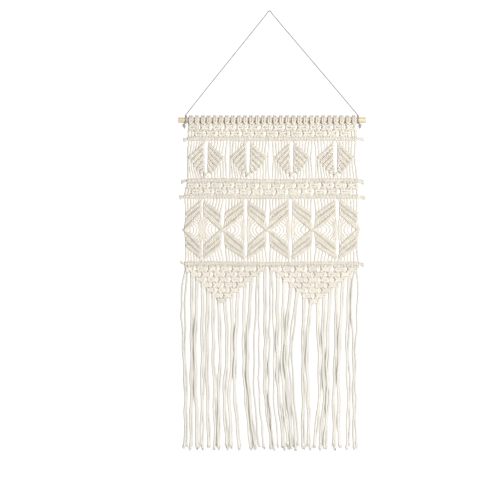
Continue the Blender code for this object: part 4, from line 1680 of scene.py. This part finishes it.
@dataclass
class Studio:
    """The plain pale floor, the soft light and the camera straight in front."""

    middle_x: float = -35.27
    middle_z: float = -434.32
    picture_height: float = 909.0
    lens: float = 100.0
    sensor: float = 36.0
    floor_z: float = -1500.0
    floor_size: float = 1400.0
    dim: float = 0.23
    bright: float = 1.15
    bright_from: float = 0.93
    bright_to: float = 0.97
    lights: tuple = (  # name, place, size, power in watts
        ("key", (1150.0, -2450.0, -150.0), 700.0, 78.0),
        ("fill", (-1300.0, -2300.0, 300.0), 1200.0, 5.0),
        ("back", (-500.0, 1900.0, 1500.0), 900.0, 45.0),
    )

    def build(self) -> None:
        """Set up the camera, the floor and the light."""
        scene = bpy.context.scene
        scene.view_settings.view_transform = "Standard"
        self.add_camera(scene)
        self.add_floor(scene)
        self.add_world(scene)
        for light in self.lights:
            self.add_light(*light)

    def add_camera(self, scene: bpy.types.Scene) -> None:
        """Look straight along +Y at the middle of the picture."""
        camera = bpy.data.cameras.new("camera")
        camera.lens = self.lens
        camera.sensor_width = self.sensor
        made = bpy.data.objects.new("camera", camera)
        away = self.picture_height * self.lens / self.sensor
        made.location = Vector((self.middle_x, CLOTH_Y - away, self.middle_z)) * MM
        made.rotation_euler = (math.pi / 2, 0.0, 0.0)
        scene.collection.objects.link(made)
        scene.camera = made

    def add_floor(self, scene: bpy.types.Scene) -> None:
        """Lay a pale floor well below the hanging."""
        bm = bmesh.new()
        bmesh.ops.create_grid(bm, x_segments=4, y_segments=4, size=self.floor_size * MM)
        bmesh.ops.translate(bm, verts=bm.verts, vec=(0.0, 0.0, self.floor_z * MM))
        mesh = bpy.data.meshes.new("floor")
        bm.to_mesh(mesh)
        bm.free()
        mesh.materials.append(PaleFinish("floor").material())
        made = bpy.data.objects.new("floor", mesh)
        scene.collection.objects.link(made)

    def add_world(self, scene: bpy.types.Scene) -> None:
        """Surround the hanging with pale grey, and with white in the distance behind it."""
        world = bpy.data.worlds.new("studio")
        graph = Graph(world)
        _, ahead, _ = graph.separate(graph.place("Generated"))
        inputs = {"Value": ahead, "From Min": self.bright_from, "From Max": self.bright_to}
        distance = graph.node("ShaderNodeMapRange", {}, inputs, "Result")
        strength = distance * (self.bright - self.dim) + self.dim
        graph.feed(graph.tree.nodes["Background"].inputs["Strength"], strength)
        graph.feed(graph.tree.nodes["Background"].inputs["Color"], (1.0, 1.0, 1.0, 1.0))
        scene.world = world

    def add_light(self, name: str, place: tuple[float, float, float], size: float, power: float) -> None:
        """Add a large soft light that faces the hanging.

        Args:
            name: its name.
            place: where it stands.
            size: its side.
            power: how strong it is, in watts.
        """
        light = bpy.data.lights.new(name, "AREA")
        light.size = size * MM
        light.energy = power
        made = bpy.data.objects.new(name, light)
        made.location = Vector(place) * MM
        aim = Vector((0.0, CLOTH_Y, self.middle_z)) * MM - made.location
        made.rotation_euler = aim.to_track_quat("-Z", "Y").to_euler()
        bpy.context.scene.collection.objects.link(made)


COTTON = CordFinish("cotton")
# The fringe's finish is the cloth's cotton copied with darker grooves and darker, more neutral crests:
# painted shade that deepens the loose strands.
LOOSE_SHADED = CordFinish("loose_cotton_shaded", crest=(0.785, 0.765, 0.712, 1.0), groove=(0.550, 0.515, 0.442, 1.0))
# the twine's groove colour is painted shade between its plies
TWINE = CordFinish("twine", crest=(0.43, 0.42, 0.38, 1.0), groove=(0.30, 0.29, 0.25, 1.0), slot="twine")
WOOD = WoodFinish("wood")

LEAF_PLACES = (  # left tip, slit, right tip
    (-147.4, -114.9, -83.4),
    (-70.4, -38.4, -4.9),
    (10.2, 40.9, 72.9),
    (86.9, 120.9, 152.2),
)


def heading(share: float) -> Vector:
    """A point on the line where the cords leave the lark's heads."""
    return Vector((mix(HEADS_LEFT, HEADS_RIGHT, share), CLOTH_Y, HEADING_Z))


def bar_face(bar: BarLine, up: int) -> Callable[[float], Vector]:
    """The line along the top of a bar if up is 1, or along its underside if up is -1."""
    return lambda share: bar.place(share) + Vector((0.0, 0.0, up * bar.height * BAR_FACE))


def main() -> None:
    """Build the studio and every piece, in order, and report each one."""
    logging.basicConfig(level=logging.INFO, format="%(message)s", stream=sys.stdout)
    Studio().build()
    materials = {finish.name: finish.material() for finish in (COTTON, LOOSE_SHADED, TWINE, WOOD)}
    ties = [
        Tie(Side.LEFT, -151.9, seed=21).build(materials),
        Tie(Side.RIGHT, 161.5, seed=22).build(materials),
    ]
    HangingTwine().build(materials, ties)
    Dowel().build(materials)
    LarksHeads().build(materials)
    KnotBand("knot_band_1", 31, heading, bar_face(BAR_1, 1)).build(materials)
    KnotBand("knot_band_2", 32, bar_face(BAR_2, -1), bar_face(BAR_3, 1)).build(materials)
    for seed, line in enumerate((BAR_1, BAR_2, BAR_3, BAR_4), start=41):
        Bar(line, seed).build(materials)
    for i, (left, slit, right) in enumerate(LEAF_PLACES):
        first_cord = 2 * HALF_REPEAT * i
        Leaf(f"leaf_{i + 1}", 51 + i, left, slit, right, first_cord).build(materials)
    Diamonds().build(materials)
    points = [Point("point_left", 71, 0, -86.7), Point("point_right", 72, PAIRS, 81.6)]
    for point in points:
        point.build(materials)
    edges = [point.edges() for point in points]
    roots = edges[0] + edges[1][1:]
    arch = len(edges[0]) - 1
    fringe = Fringe()
    roots[arch] = roots[arch] - Vector((0.0, 0.0, fringe.arch_drop))
    fringe.build(materials, roots)


if __name__ == "__main__":
    main()
